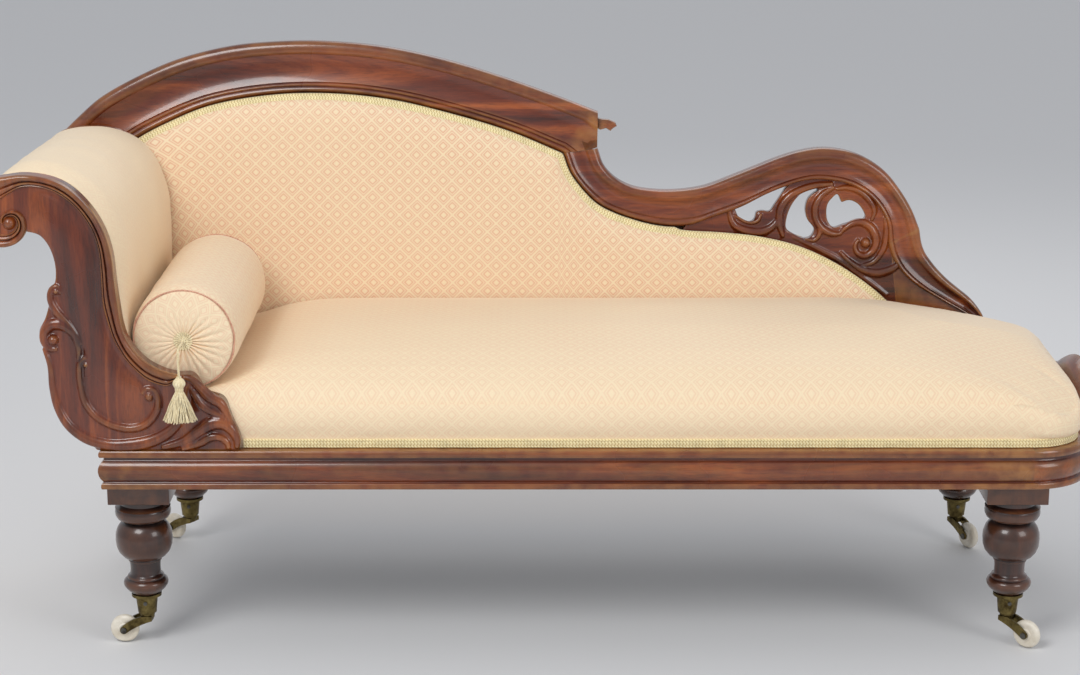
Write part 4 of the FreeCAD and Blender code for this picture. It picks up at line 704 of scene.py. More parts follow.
loopCarving = {
    "leafHole": [(1014, 284), (1036, 300), (1062, 314), (1096, 330), (1122, 340), (1108, 324),
                 (1096, 305), (1086, 290), (1078, 279), (1064, 280), (1054, 277), (1050, 264),
                 (1038, 258), (1023, 266)],
    "crescentHole": [(1172, 321), (1146, 317), (1128, 304), (1116, 286), (1109, 264), (1109, 247),
                     (1124, 236), (1142, 229), (1155, 233), (1160, 246), (1147, 264), (1143, 282),
                     (1147, 300), (1155, 310)],
    "loopHole": [(1209, 295), (1223, 299), (1238, 293), (1249, 280), (1253, 266), (1233, 260),
                 (1215, 255), (1195, 249), (1185, 260), (1182, 275), (1184, 292), (1192, 303), (1201, 310)],
    "stems": [  # along, up, half width; then the rise
        ([(1318, 184, 5), (1306, 174, 7), (1278, 165, 8), (1250, 171, 7),
          (1226, 186, 5), (1208, 204, 3)], 9),
        ([(1206, 236, 2), (1214, 246, 4), (1228, 256, 6), (1245, 259, 7), (1263, 249, 8), (1273, 228, 8),
          (1267, 206, 7), (1252, 197, 6), (1239, 203, 5), (1235, 216, 4), (1241, 227, 3)], 10),
        ([(1289, 268, 4), (1292, 238, 6), (1286, 208, 6), (1270, 186, 5), (1248, 178, 4)], 7),
        ([(1103, 232, 4), (1096, 258, 7), (1098, 284, 8), (1111, 304, 8), (1134, 318, 7), (1160, 326, 6),
          (1192, 329, 4)], 9),
        ([(1008, 298, 3), (1005, 274, 5), (1014, 254, 7), (1036, 243, 8), (1062, 241, 8), (1082, 250, 7),
          (1094, 266, 4)], 8),
        ([(1194, 324, 4), (1172, 308, 6), (1161, 288, 7), (1163, 264, 7), (1175, 247, 7), (1192, 238, 6),
          (1210, 238, 3)], 9),
        ([(1198, 320, 3), (1218, 322, 5), (1240, 316, 6), (1259, 300, 6), (1269, 280, 5),
          (1264, 262, 3)], 8),
        ([(1012, 272, 2), (1040, 258, 3), (1056, 262, 4), (1062, 274, 3)], 6),
        ([(1143, 228, 2), (1160, 226, 4), (1170, 240, 5), (1164, 258, 4), (1156, 280, 3)], 7),
        ([(1120, 232, 3), (1160, 214, 5), (1205, 190, 6), (1250, 158, 6), (1296, 124, 4)], 4),
    ],
    "eye": (1254, 221, 9, 12),
    "voxel": 0.0017,
}


def loopPanel():
    face = backY + 0.009
    run = [p for p in smooth(sweptInner, 6) if p[0] > 930]
    lower = smooth(panelEdge, 6)
    outline = offset(run, 9) + [(1326, 190), (1330, 100)] + offset(lower, -12)[::-1]
    holes = [loopCarving[key] for key in ("leafHole", "crescentHole", "loopHole")]
    holes = [smooth(hole + hole[:1], 4)[:-1] for hole in holes]
    parts = [plank("loopPanel", [outline] + holes, face, face + 0.022, 0.002, tip=True)]
    for i, (points, rise) in enumerate(loopCarving["stems"]):
        parts.append(ridge("stem%d" % i, points, rise, face + 0.001, tip=True))
    parts.append(dome("loopEye", *loopCarving["eye"][:3], loopCarving["eye"][3], face, tip=True))
    carved = meltTogether("backLoopCarving", parts, loopCarving["voxel"], 3)
    finished(carved, woodAlong, ["back_loop_carving"], angle=60)


footBracket = {
    "plate": 8.5,  # mm that the plate lies behind the moulding's crest
    "tip": (1470, 60),
    "rings": 70,
}


def bracket():
    count = footBracket["rings"]
    outer, inner = smooth(bracketOuter), smooth(bracketInner)
    band = strip("backFootBracket", evenly(outer, count), evenly(inner, count), sweptRail["section"])
    face = backY + footBracket["plate"] / 1000
    outline = offset(evenly(outer, 40), -2) + [footBracket["tip"], (1476, 30), (1476, 0.5), (1313, 0.5),
                                               (1313, 99), (1299, 216)]
    plate = plank("bracketPlate", [outline], face, backY + 0.044, 0.0025)
    tipBack(plate)
    band = joined("backFootBracket", band, plate)
    finished(band, woodAlong, ["back_foot_bracket"], angle=32)


loopPanel()
bracket()
print("back carving made")


# Arm: carved front scroll

armEdge = {
    "section": [(0.0, -6), (0.0, 0.5), (0.02, 3.6), (0.07, 5.8), (0.15, 7), (0.25, 7.2), (0.36, 6.6),
                (0.45, 5), (0.5, 3.2), (0.53, 2.4), (0.56, 3.4), (0.62, 4.6), (0.7, 4.9), (0.77, 4.1),
                (0.81, 2.4), (0.84, 1.8), (0.87, 2.8), (0.92, 3.2), (0.97, 1.8),
                (1.0, 0.2), (1.0, -6)],  # share across, mm proud of the face
    "centre": [(90, (-191, 384)), (450, (-181, 377))],
    "radius": [(90, 48.5), (180, 43), (270, 32), (360, 22), (450, 14), (540, 8)],
    "half": [(90, 17.5), (180, 14), (270, 10.5), (360, 7.5), (450, 5.5), (540, 3.5)],
    "rings": 150,
}
armCarving = {
    "panelRight": [(-160, 428), (-118, 425), (-84, 402), (-58, 366), (-47, 332), (-45, 292), (-44, 244),
                   (-37, 208), (-30, 184), (-20, 163), (-8, 143), (6, 127), (22, 113), (34, 100), (36, 88)],
    "panelLeft": [(-160, 372), (-138, 360), (-121, 342), (-111, 318), (-107, 294), (-108, 268),
                  (-104, 240), (-94, 216), (-80, 188), (-73, 160), (-76, 128), (-72, 92), (-52, 62),
                  (-22, 46), (26, 58)],
    "stems": [
        ([(-82, 152, 3), (-81, 172, 5), (-88, 196, 7), (-104, 210, 9), (-122, 211, 9), (-134, 199, 8),
          (-135, 182, 7), (-127, 171, 5), (-115, 171, 4)], 8),
        ([(-137, 172, 3), (-128, 142, 5), (-126, 106, 6), (-119, 72, 7), (-103, 42, 8), (-75, 20, 9),
          (-40, 10, 9), (-5, 10, 10), (30, 17, 10), (58, 32, 9), (77, 52, 7), (87, 80, 6),
          (91, 108, 4)], 7.5),
        ([(-63, 140, 3), (-60, 150, 4), (-69, 156, 5), (-79, 149, 5), (-82, 132, 5), (-80, 105, 5.5),
          (-74, 80, 6), (-56, 56, 6), (-29, 42, 6.5), (0, 38, 6.5), (24, 47, 6.5), (39, 66, 6.5),
          (43, 86, 6), (37, 101, 5.5), (25, 104, 5), (18, 96, 4)], 7),
        ([(-105, 262, 3), (-110, 274, 4), (-119, 269, 5), (-122, 254, 6), (-114, 234, 7), (-98, 214, 7),
          (-84, 194, 6), (-76, 178, 3)], 7),
        ([(46, 6, 5), (83, 17, 8), (108, 34, 10), (128, 46, 11), (146, 46, 10), (160, 35, 8),
          (168, 18, 6), (167, 5, 4)], 9),
        ([(78, 3, 4), (108, 14, 7), (126, 23, 7), (142, 22, 6), (152, 13, 5), (154, 4, 4)], 7),
        ([(84, 124, 4), (99, 119, 6), (113, 104, 8), (127, 90, 9), (143, 80, 8), (152, 64, 6),
          (160, 44, 4)], 8),
        ([(92, 112, 3), (102, 94, 6), (112, 78, 7), (128, 66, 6), (146, 58, 4)], 6),
    ],
    "eyes": [(-121, 186, 9, 11), (29, 92, 7.5, 9), (-70, 145, 5, 8), (-112, 266, 5, 8)],
    "voxel": 0.0017,
}


def armFront():
    count = armEdge["rings"]
    pairs = []
    for i in range(70):
        turn = 540 - 450 * i / 69
        share = min((turn - 90) / 360, 1)
        centre = mix(armEdge["centre"][0][1], armEdge["centre"][1][1], share)
        way = (math.cos(math.radians(turn)), math.sin(math.radians(turn)))
        radius, half = lookUp(armEdge["radius"], turn), lookUp(armEdge["half"], turn)
        reaches = (radius + half, radius - half)
        pairs.append([(centre[0] + way[0] * r, centre[1] + way[1] * r) for r in reaches])
    outer, inner = evenly(smooth(armTop), count), evenly(smooth(armInner), count)
    pairs += [list(pair) for pair in zip(outer[1:], inner[1:])]
    rings = [[at(*mix(a, b, t), armFace - h / 1000) for t, h in armEdge["section"]] for a, b in pairs]
    edge = loft("armEdge", rings)
    outline = smooth(armTop, 6)[:-1] + smooth(armLeaf, 6) + [(60, 0)] + smooth(armOutside, 6)[:-1]
    outline += smooth(armVolute, 6)[:-1]
    board = plank("armBoard", [outline], armFace, armFace + 0.028, 0.002)
    right = evenly(smooth(armCarving["panelRight"]), 90)
    left = evenly(smooth(armCarving["panelLeft"]), 90)
    rings = []
    for i, (a, b) in enumerate(zip(right, left)):
        rise = 6.5 * ease(min(i, 89 - i) / 14)
        shape = [(k / 12, math.sin(math.pi * k / 12) ** 0.6 if 0 < k < 12 else 0) for k in range(13)]
        ring = [at(*mix(a, b, t), armFace + 0.0005 - rise * h / 1000) for t, h in shape]
        rings.append([at(*a, armFace + 0.006)] + ring + [at(*b, armFace + 0.006)])
    parts = [board, loft("armPanel", rings)]
    for i, (points, rise) in enumerate(armCarving["stems"]):
        parts.append(ridge("armStem%d" % i, points, rise, armFace + 0.0005))
    for i, (u, w, radius, rise) in enumerate(armCarving["eyes"]):
        parts.append(dome("armEye%d" % i, u, w, radius, rise, armFace))
    parts.append(dome("armTipEye", -181, 377, 10, 11, armFace))
    carved = meltTogether("armFrontScroll", parts, armCarving["voxel"], 3)
    finished(carved, woodUpright, ["arm_front_scroll", "arm_carving"], angle=60)
    finished(edge, woodUpright, angle=32)


armFront()
print("arm scroll carved")


# Upholstery

def puff(obj, keep, cap, pressure=3.0, frames=16, stiffness=12):  # cloth under pressure; keep(co) pins a vertex
    rest = [v.co.copy() for v in obj.data.vertices]
    group = obj.vertex_groups.new(name="held")
    group.add([v.index for v in obj.data.vertices if keep(v.co)], 1.0, "REPLACE")
    made = obj.modifiers.new("cloth", "CLOTH")
    made.settings.vertex_group_mass = "held"
    made.settings.use_pressure = True
    made.settings.uniform_pressure_force = pressure
    made.settings.tension_stiffness = stiffness
    made.settings.compression_stiffness = stiffness
    made.settings.bending_stiffness = 0.6
    made.settings.quality = 4
    made.settings.effector_weights.gravity = 0
    made.collision_settings.use_collision = False
    scene = bpy.context.scene
    for step in range(1, frames + 1):
        scene.frame_set(step)
    pick(obj)
    bpy.ops.object.modifier_apply(modifier="cloth")
    scene.frame_set(1)
    for v, start in zip(obj.data.vertices, rest):
        shift = v.co - start
        if shift.length > cap:
            v.co = start + shift * (cap / shift.length)
    return obj


seatCushion = {
    "inset": 23,
    "front": [(-2, 66), (10, 85), (24, 100), (60, 116), (115, 130), (242, 147), (380, 143), (500, 127),
              (576, 108)],
    "foot": [(-3, 74), (18, 93), (45, 108), (80, 120), (130, 131), (200, 140), (370, 147)],  # in from the edge, up
    "head": [(0, 88), (100, 90), (138, 100), (190, 117), (290, 136), (490, 145), (760, 148)],
    "hip": [(8, 36), (28, 58), (60, 78), (100, 93), (135, 102), (190, 114), (245, 126), (300, 137),
            (370, 160)],
    "wall": [(0, 0.004), (0, 0.12), (0.1, 0.22), (0.62, 0.3), (0.92, 0.42), (1.0, 0.58), (0.9, 0.74),
             (0.55, 0.88), (0.05, 0.97)],  # share of the bulge, share of the wall's height
    "bulge": (8, 13),  # along the front, round the foot
    "spine": 250,
    "backPad": 23,
    "rimSteps": (230, 30, 24),  # along the front, round the corner, to the middle of the foot
    "topSteps": 36,
    "hipAngle": 40,
    "soften": 14,
    "crown": 242,  # where the section across is highest
    "bracketEnd": 1.476,
    "cap": 0.003,
}


def seatPlan():  # the seat's edge from the head end to the middle of the foot, and which way is out
    inset = seatCushion["inset"] / 1000
    start, front = seatStart, frontEdge + inset
    radius = footEdge - cornerX - inset
    spots = []
    count, turns, straight = seatCushion["rimSteps"]
    for i in range(count):
        spots.append((start + (cornerX - start) * i / count, front, 0.0, -1.0))
    for i in range(turns + 1):
        turn = math.radians(-90 + 90 * i / turns)
        c, s = math.cos(turn), math.sin(turn)
        spots.append((cornerX + radius * c, frontCornerY + radius * s, c, s))
    middle = (frontCornerY + backCornerY) / 2
    for i in range(1, straight + 1):
        spots.append((cornerX + radius, frontCornerY + (middle - frontCornerY) * i / straight, 1.0, 0.0))
    return spots


def seatHeight(x, y):
    look = seatCushion
    inset = look["inset"] / 1000
    start, foot, front = seatStart, footEdge - inset, frontEdge + inset
    levels = [lookUp(look["front"], (y - front) * 1000), lookUp(look["head"], (x - start) * 1000),
              lookUp(look["foot"], (foot - x) * 1000)]
    rear = backEdge - inset
    if x > headLegX + look["bracketEnd"]:
        levels[0] = lookUp(look["front"], min((y - front) * 1000, look["crown"]))
        levels[0] = min(levels[0], lookUp(look["foot"], (rear - y) * 1000))
    turn = math.radians(look["hipAngle"])
    middle = (frontCornerY + backCornerY) / 2
    reach = cornerX * math.cos(turn) + (backCornerY - middle) * math.sin(turn) + (footEdge - cornerX) - 0.005
    for side in (-1, 1):
        along = x * math.cos(turn) + side * (y - middle) * math.sin(turn)
        levels.append(lookUp(look["hip"], (reach - along) * 1000))
    levels.sort()
    soft = look["soften"]
    gap = max(soft - (levels[1] - levels[0]), 0) / soft
    return levels[0] - gap * gap * soft * 0.25


def seatPad():
    look = seatCushion
    middle = (frontCornerY + backCornerY) / 2
    back = backY - look["backPad"] / 1000
    start = seatStart
    bracketEnd = headLegX + look["bracketEnd"] + 0.002
    spineEnd = footEdge - look["spine"] / 1000
    rings, uvs = [], []
    for x, y, outX, outY in seatPlan():
        halves = []
        for side in (1, -1):
            out = (outX, outY * side)
            wrapped = side == 1 or x > bracketEnd
            edge = (x, y if side == 1 else 2 * middle - y if wrapped else back)
            spine = (min(x, spineEnd), middle)
            crest = max(seatHeight(edge[0] - out[0] * 0.004, edge[1] - out[1] * 0.004), 30)
            least, most = look["bulge"]
            bulge = least + (most - least) * ease((x - cornerX + 0.02) / 0.06)
            bulge *= ease((x - start) / 0.05) if wrapped else 0
            half, flat = [], []
            for share, up in look["wall"]:
                push = bulge * share / 1000 if wrapped else 0
                half.append(Vector((edge[0] + out[0] * push, edge[1] + out[1] * push,
                                    railTop + 0.0003 + up * crest / 1000)))
                drop = (1 - up) * crest / 1000
                flat.append((edge[0] + out[0] * drop, edge[1] + out[1] * drop))
            for k in range(1, look["topSteps"] + 1):
                share = (k / look["topSteps"]) ** 1.5
                px, py = edge[0] + (spine[0] - edge[0]) * share, edge[1] + (spine[1] - edge[1]) * share
                half.append(Vector((px, py, railTop + 0.0003 + seatHeight(px, py) / 1000)))
                flat.append((px, py))
            halves.append((half, flat))
        front, behind = halves
        rings.append(front[0] + behind[0][-2::-1])
        uvs.append(front[1] + behind[1][-2::-1])
    pad = loft("seatPad", rings)
    count = len(rings[0])
    uv = pad.data.uv_layers["run"].data
    for face in pad.data.polygons:
        for loopIndex in face.loop_indices:
            i, j = divmod(pad.data.loops[loopIndex].vertex_index, count)
            uv[loopIndex].uv = uvs[i][j]
    faceOutwards(pad)
    low = railTop + 0.02
    puff(pad, lambda co: co.z < low or co.y > back - 0.002 and co.x < bracketEnd or co.x < start + 0.002,
         look["cap"])
    creaseSeat(pad)
    finished(pad, coverCloth, ["seat_pad"], angle=80)


seatCreases = [  # along, up at each end, then depth and width in mm: folds in the front wall
    ([(240, 26), (330, 30), (430, 42)], 1.6, 7), ([(1245, 44), (1290, 34), (1330, 30)], 2.2, 6),
    ([(1398, 60), (1402, 28)], 2.4, 5), ([(1428, 58), (1440, 24)], 2.6, 5), ([(1456, 60),
                                                                              (1470, 22)], 2.4, 5),
    ([(1484, 58), (1500, 24)], 2.0, 5), ([(700, 36), (820, 31), (900, 38)], 1.2, 7), ([(1060, 34),
                                                                                       (1130, 40)], 1.2, 6),
]


seatLumps = [(Vector((9, 9, 16)), 1.6), (Vector((26, 26, 40)), 0.6)]  # how many a metre, mm


def creaseSeat(pad):
    for v in pad.data.vertices:
        x, y, z = v.co
        level = (z - railTop) * 1000
        if level < 16:
            continue
        lump = sum(noise.noise(v.co * scale) * high for scale, high in seatLumps)
        calm = ease((level - 16) / 14) * (1 if y < backY - 0.04 or x > headLegX + 1.48 else 0.2)
        v.co.z += lump * calm / 1000 * 0.6
        if y < frontEdge + 0.09 or x > cornerX:
            v.co.y += lump * calm / 1000 * 0.6
        if y > frontEdge + 0.08:
            continue
        u = (x - headLegX) * 1000
        for line, depth, width in seatCreases:
            steps = [mix(a, b, k / 6) for a, b in zip(line, line[1:]) for k in range(7)]
            near = min(math.dist((u, level), step) for step in steps)
            if near < width * 2.5:
                side = math.exp(-(near / width) ** 2) - 0.6 * math.exp(-((near - width * 1.3) / width) ** 2)
                v.co.y += depth * side / 1000


def gimpStrip(name, rings, replaces):
    piece = loft(name, rings)
    finished(piece, braid, replaces, angle=50)
    return piece


gimpBraid = {
    "height": 15,
    "thickness": 3.4,
    "section": [(0.0, 0.0), (0.04, 0.7), (0.12, 1.0), (0.22, 0.7), (0.36, 0.85), (0.5, 0.95),
                (0.64, 0.85), (0.78, 0.7), (0.88, 1.0), (0.96, 0.7), (1.0, 0.0)],  # share up, share out
}


seatBraid = {
    "in": 0.0225,  # from the frame's edge
    "start": 0.176,
    "step": 0.012,
    "cornerSteps": 24,
}


def seatGimp():
    look = seatBraid
    face = look["in"]
    radius = footEdge - cornerX - face
    spots = []
    x = headLegX + look["start"]
    while x < cornerX:
        spots.append((x, frontEdge + face, 0, -1))
        x += look["step"]
    for centreY, first in ((frontCornerY, -90), (backCornerY, 0)):
        for i in range(look["cornerSteps"] + 1):
            angle = math.radians(first + 90 * i / look["cornerSteps"])
            c, s = math.cos(angle), math.sin(angle)
            spots.append((cornerX + radius * c, centreY + radius * s, c, s))
    rings = []
    for i, (x, y, outX, outY) in enumerate(spots):
        wave = 0.0003 * math.sin(i * 1.7) + 0.0002 * math.sin(i * 0.63)
        ring = []
        for up, out in gimpBraid["section"]:
            push = (out * gimpBraid["thickness"] / 1000) + wave
            ring.append(Vector((x + outX * push, y + outY * push,
                                railTop + 0.0002 + up * gimpBraid["height"] / 1000)))
        inside = [Vector((x - outX * 0.001, y - outY * 0.001, p.z)) for p in (ring[-1], ring[0])]
        rings.append(ring + inside)
    gimpStrip("seatGimp", rings, ["seat_gimp"])


backPanel = {
    "gimp": 13,
    "edgeProud": 6,
    "proud": 21,
    "swell": 62,
    "bottom": 60,
    "rings": 200,
    "rows": 46,
    "foot": (1306, 24, 0.3),  # the last one along, the first one beside the arm, and how they spread
    "gather": 1.35,
    "braidRings": 420,
    "braidEnd": (1312, 92),
}


def panelBoundary(inset):  # the upper edge of the padded panel, from beside the arm to its foot
    top = [p for p in smooth(topInner, 12) if p[0] > -90]
    swept = [p for p in smooth(sweptInner, 12) if 701 < p[0] < 905]
    return offset(evenly(top + swept + smooth(panelEdge, 12), 400), -inset)


def backPad():
    look = backPanel
    edge = evenly(panelBoundary(look["gimp"] - 1), look["rings"])
    tree = kdtree.KDTree(len(edge) * 4)
    for i, p in enumerate(evenly(panelBoundary(look["gimp"] - 1), len(edge) * 4)):
        tree.insert((p[0], p[1], 0), i)
    tree.balance()
    rings = []
    for top in edge:
        farthest, nearest, spread = look["foot"]
        if top[0] > farthest:
            continue
        foot = (max(top[0], nearest + (top[0] + 90) * spread), look["bottom"])
        ring = []
        for k in range(look["rows"]):
            share = k / (look["rows"] - 1)
            point = mix(foot, top, 1 - (1 - share) ** look["gather"])
            near = tree.find((point[0], point[1], 0))[2]
            swell = min(near / look["swell"], 1)
            proud = look["edgeProud"] + (look["proud"] - look["edgeProud"]) * math.sqrt(1 - (1 - swell) ** 2)
            ring.append(leaned(at(point[0], point[1], backY - proud / 1000)))
        back = [leaned(at(top[0], top[1], backY + 0.002)), leaned(at(foot[0], foot[1], backY + 0.002))]
        rings.append(ring + back)
    pad = loft("backPad", rings)
    finished(pad, backCloth, ["back_pad"], angle=80)


def backGimp():
    count = backPanel["braidRings"]
    endAlong, endUp = backPanel["braidEnd"]
    outer = evenly(panelBoundary(0.6), count)
    inner = evenly(panelBoundary(backPanel["gimp"] + 2), count)
    rings = []
    for i, (a, b) in enumerate(zip(outer, inner)):
        if a[0] > endAlong or a[1] < endUp:
            continue
        wave = 0.3 * math.sin(i * 1.3) + 0.2 * math.sin(i * 0.41)
        ring = []
        for up, out in gimpBraid["section"]:
            depth = -2.0 - out * 3.2 - wave - up * 4.0
            ring.append(leaned(at(*mix(a, b, up), backY + depth / 1000)))
        ring += [leaned(at(*b, backY + 0.001)), leaned(at(*a, backY + 0.001))]
        rings.append(ring)
    gimpStrip("backGimp", rings, ["back_gimp"])


armPadding = {
    "thickness": 34,
    "ends": 3,
    "roll": 0.02,
    "rings": 90,
    "swell": 0.06,
    "creases": [(-112, 2.2, 8), (-176, 1.6, 6)],  # over the roll at its front: along, depth, width
}


def armPad():
    look = armPadding
    count = 130
    lines = [evenly(smooth(points), count) for points in (armPadFront, armPadSwell, armPadBack)]
    front = armFace + 0.0283
    rear = backY + 0.01
    rings = []
    for i in range(look["rings"]):
        share = 0.5 - 0.5 * math.cos(math.pi * i / (look["rings"] - 1))
        y = front + share * (rear - front)
        if y < front + look["swell"]:
            part = ease((y - front) / look["swell"])
            run = [mix(a, b, part) for a, b in zip(lines[0], lines[1])]
        else:
            part = (y - front - look["swell"]) / (rear - front - look["swell"])
            run = [mix(a, b, part) for a, b in zip(lines[1], lines[2])]
        edge = min(min(y - front, rear - y) / look["roll"], 1)
        sunk = look["ends"] * (1 - math.sqrt(max(1 - (1 - edge) ** 2, 0)))
        outer = offset(run, -sunk) if sunk > 0.01 else run
        inner = offset(run, -look["thickness"])
        ring = []
        for j, (u, w) in enumerate(outer + inner[::-1]):
            limit = backY - 0.029 + w / 1000 * math.tan(rake)
            ring.append(at(u, max(w, 92), front + (y - front) * (limit - front) / (rear - front)))
        rings.append(ring)
    pad = loft("armPad", rings)
    normals = [v.normal.copy() for v in pad.data.vertices]
    for v, normal in zip(pad.data.vertices, normals):
        x, y, z = v.co
        calm = ease(min(y - front, 0.03) / 0.03)
        lump = noise.noise(Vector((x * 10, y * 13, z * 10))) * 2.2
        lump += noise.noise(Vector((x * 34, y * 22, z * 34))) * 0.5
        v.co += normal * lump * calm / 1000
        for place, depth, width in look["creases"]:
            near = abs((x - headLegX) * 1000 - place + (y - front) * 300)
            if z > railTop + 0.41:
                v.co.z -= depth * math.exp(-(near / width) ** 2) * math.exp(-(y - front) / 0.07) / 1000
    finished(pad, armCloth, ["arm_pad"], angle=80)


def armGimp():
    line = evenly(smooth(armCoverLine), 150)
    rings = []
    for i, spot in enumerate(line):
        a, b = line[max(i - 1, 0)], line[min(i + 1, len(line) - 1)]
        size = math.dist(a, b)
        out = ((b[1] - a[1]) / size, -(b[0] - a[0]) / size)
        ring = []
        for across, up in [(0, -0.8)] + gimpBraid["section"] + [(1, -0.8)]:
            push = 0.6 + up * 1.9 if up >= 0 else 0.4
            ring.append(at(spot[0] + out[0] * push, spot[1] + out[1] * push, armPlankBack + across * 0.0108))
        rings.append(ring)
    gimpStrip("armGimp", rings, ["arm_gimp"])


def slab(name, loops, low, high, bevel=0.0002):  # a level sheet cut to outlines in metres
    moved = [[((x - headLegX) * 1000, (y - railTop) * 1000) for x, y in loop] for loop in loops]
    piece = plank(name, moved, 0, high - low, bevel)
    piece.data.transform(Matrix(((1, 0, 0, 0), (0, 0, 1, 0), (0, -1, 0, high), (0, 0, 0, 1))))
    faceOutwards(piece)
    return piece


def armOutsideCover():
    line = evenly(smooth(armCoverLine), 120)
    inner = offset(line, 1.6)
    rings = []
    for i in range(40):
        share = i / 39
        ring = []
        for u, w in line + inner[::-1]:
            limit = backY - 0.0295 + w / 1000 * math.tan(rake)
            sway = 0.5 * noise.noise(Vector((u / 60, w / 60, share * 6)))
            ring.append(at(u + sway, w, armPlankBack + share * (limit - armPlankBack)))
        rings.append(ring)
    piece = finished(loft("armOutsideCover", rings), armCloth, ["arm_outside_cover"], angle=80)


def backOutsideCover():
    top = [p for p in panelBoundary(-14) if p[0] < 1326]
    outline = [(24, 2), (8, 122), (-24, 212), (-52, 330)] + top + [(top[-1][0], 2)]
    piece = plank("backOutsideCover", [outline], backY + 0.0452, backY + 0.0464, 0.0002, tip=True)
    finished(piece, flatCloth, ["back_outside_cover"], angle=80)


def seatDustCover():
    notch = 0.052  # half the room left for a leg's plinth
    low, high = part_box("seat_dust_cover")
    legY = sum(c.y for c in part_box("leg_front_head")) / 2
    rearY = sum(c.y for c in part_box("leg_back_head")) / 2
    outline = [(headLegX + notch, low.y), (footLegX - notch, low.y), (footLegX - notch, legY + notch),
               (high.x, legY + notch), (high.x, rearY - notch), (footLegX - notch, rearY - notch),
               (footLegX - notch, high.y), (headLegX + notch, high.y), (headLegX + notch, rearY - notch),
               (low.x, rearY - notch), (low.x, legY + notch), (headLegX + notch, legY + notch)]
    piece = slab("seatDustCover", [outline], low.z, high.z)
    finished(piece, liningCloth, ["seat_dust_cover"])


def seatHessian():
    low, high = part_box("seat_hessian")
    outline = [(low.x, low.y), (high.x, low.y), (high.x, high.y), (low.x, high.y)]
    piece = finished(slab("seatHessian", [outline], low.z, high.z), hessianCloth, ["seat_hessian"])


def strap(name, start, end, look, waves, phase, turn):  # a flat band that goes over and under others
    steps = 60
    along = (end - start).normalized()
    side = turn.cross(along) * look["width"] / 2
    thickness = look["thickness"]
    rings = []
    for i in range(steps + 1):
        share = i / steps
        lift = 0.5 * thickness * math.cos(math.pi * (waves * share + phase)) * ease(min(share, 1 - share) * 8)
        spot = start + (end - start) * share + turn * lift
        up = turn * thickness / 2
        rings.append([spot - side - up, spot + side - up, spot + side + up, spot - side + up])
    return loft(name, rings)


seatStraps = {
    "width": 0.05,
    "thickness": 0.0011,
    "across": 11,
    "rows": 4,
    "legRoom": 0.075,
    "firstRow": -0.161,
    "rowStep": 0.0875,
}
backStraps = {
    "width": 0.045,
    "thickness": 0.0009,
    "upright": (-17.5, 165, 8),  # first one's middle, the step and how many
    "low": 62,
    "level": [(34, 1225, 117), (-10, 1105, 200), (-40, 700, 330)],  # from, to, up
    "behind": 0.004,
}


def web(name, straps, node):
    piece = finished(joined(name, *straps), webCloth, [node])


def seatWebbing():
    look = seatStraps
    low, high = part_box("seat_webbing")
    level = (low.z + high.z) / 2
    up = Vector((0, 0, 1))
    straps = []
    x0, x1 = headLegX + look["legRoom"], footLegX - look["legRoom"]
    for i in range(look["across"]):
        x = x0 + (i + 0.5) * (x1 - x0) / look["across"]
        ends = Vector((x, low.y, level)), Vector((x, high.y, level))
        straps.append(strap("cross%d" % i, *ends, look, 4, i % 2, up))
    for i in range(look["rows"]):
        y = look["firstRow"] + (i + 0.5) * look["rowStep"]
        ends = Vector((low.x, y, level)), Vector((high.x, y, level))
        straps.append(strap("row%d" % i, *ends, look, 11, i % 2 + 0.5, up))
    web("seatWebbing", straps, "seat_webbing")


def backWebbing():
    look = backStraps
    edge = panelBoundary(30)
    face = backY + look["behind"]
    normal = leaned(Vector((0, backY - 1, railTop))) - leaned(Vector((0, backY, railTop)))
    straps, run = [], 0
    first, step, count = look["upright"]
    for i in range(count):
        u = first + i * step
        top = min(p[1] for p in edge if abs(p[0] - u) < 28) - 4
        ends = leaned(at(u, look["low"], face)), leaned(at(u, top, face))
        straps.append(strap("upright%d" % i, *ends, look, 3, i % 2, normal))
        run += top - look["low"]
    for i, (left, right, level) in enumerate(look["level"]):
        ends = leaned(at(left, level, face)), leaned(at(right, level, face))
        straps.append(strap("level%d" % i, *ends, look, 8, i % 2 + 0.5, normal))
        run += right - left
    web("backWebbing", straps, "back_webbing")


armPad()
armGimp()
armOutsideCover()
backOutsideCover()
seatDustCover()
seatHessian()
seatWebbing()
backWebbing()
print("arm, covers and webbing made")

seatPad()
seatGimp()
backPad()
backGimp()
print("seat and back covered")


# Loose bolster with its tassel

bolsterRoll = {
    "radius": 88,
    "seam": 81,
    "pleats": 26,
    "segments": 208,
    "end": [(3, -4, 1.0), (9, -8, 1.0), (14, -10, 1.0), (20, -10.8, 0.95), (28, -11, 0.85), (38, -10.4, 0.7),
            (48, -9.2, 0.52), (58, -7.2, 0.34), (68, -4.6, 0.2), (75, -3.0, 0.1), (79.4, -1.2, 0.04), (81, 0.6, 0.0),
            (80.4, 2.4, 0.0), (82, 5.5, 0), (84.4, 11, 0), (86.4, 19, 0), (87.6, 28, 0)],  # radius, in, pleating
    "places": (-0.2547, 0.1693),  # the seams at its two ends
}
seamCordLook = {
    "steps": 180,
    "proud": 0.6,
    "thickness": 1.5,
}


def bolsterPlace():
    low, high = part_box("bolster")
    return (low.x + high.x) / 2, (low.z + high.z) / 2, *bolsterRoll["places"]


def ringPoint(x, y, z, reach, turn):  # a point so many millimetres from a line that runs front to back
    return Vector((x + reach * math.cos(turn) / 1000, y, z + reach * math.sin(turn) / 1000))


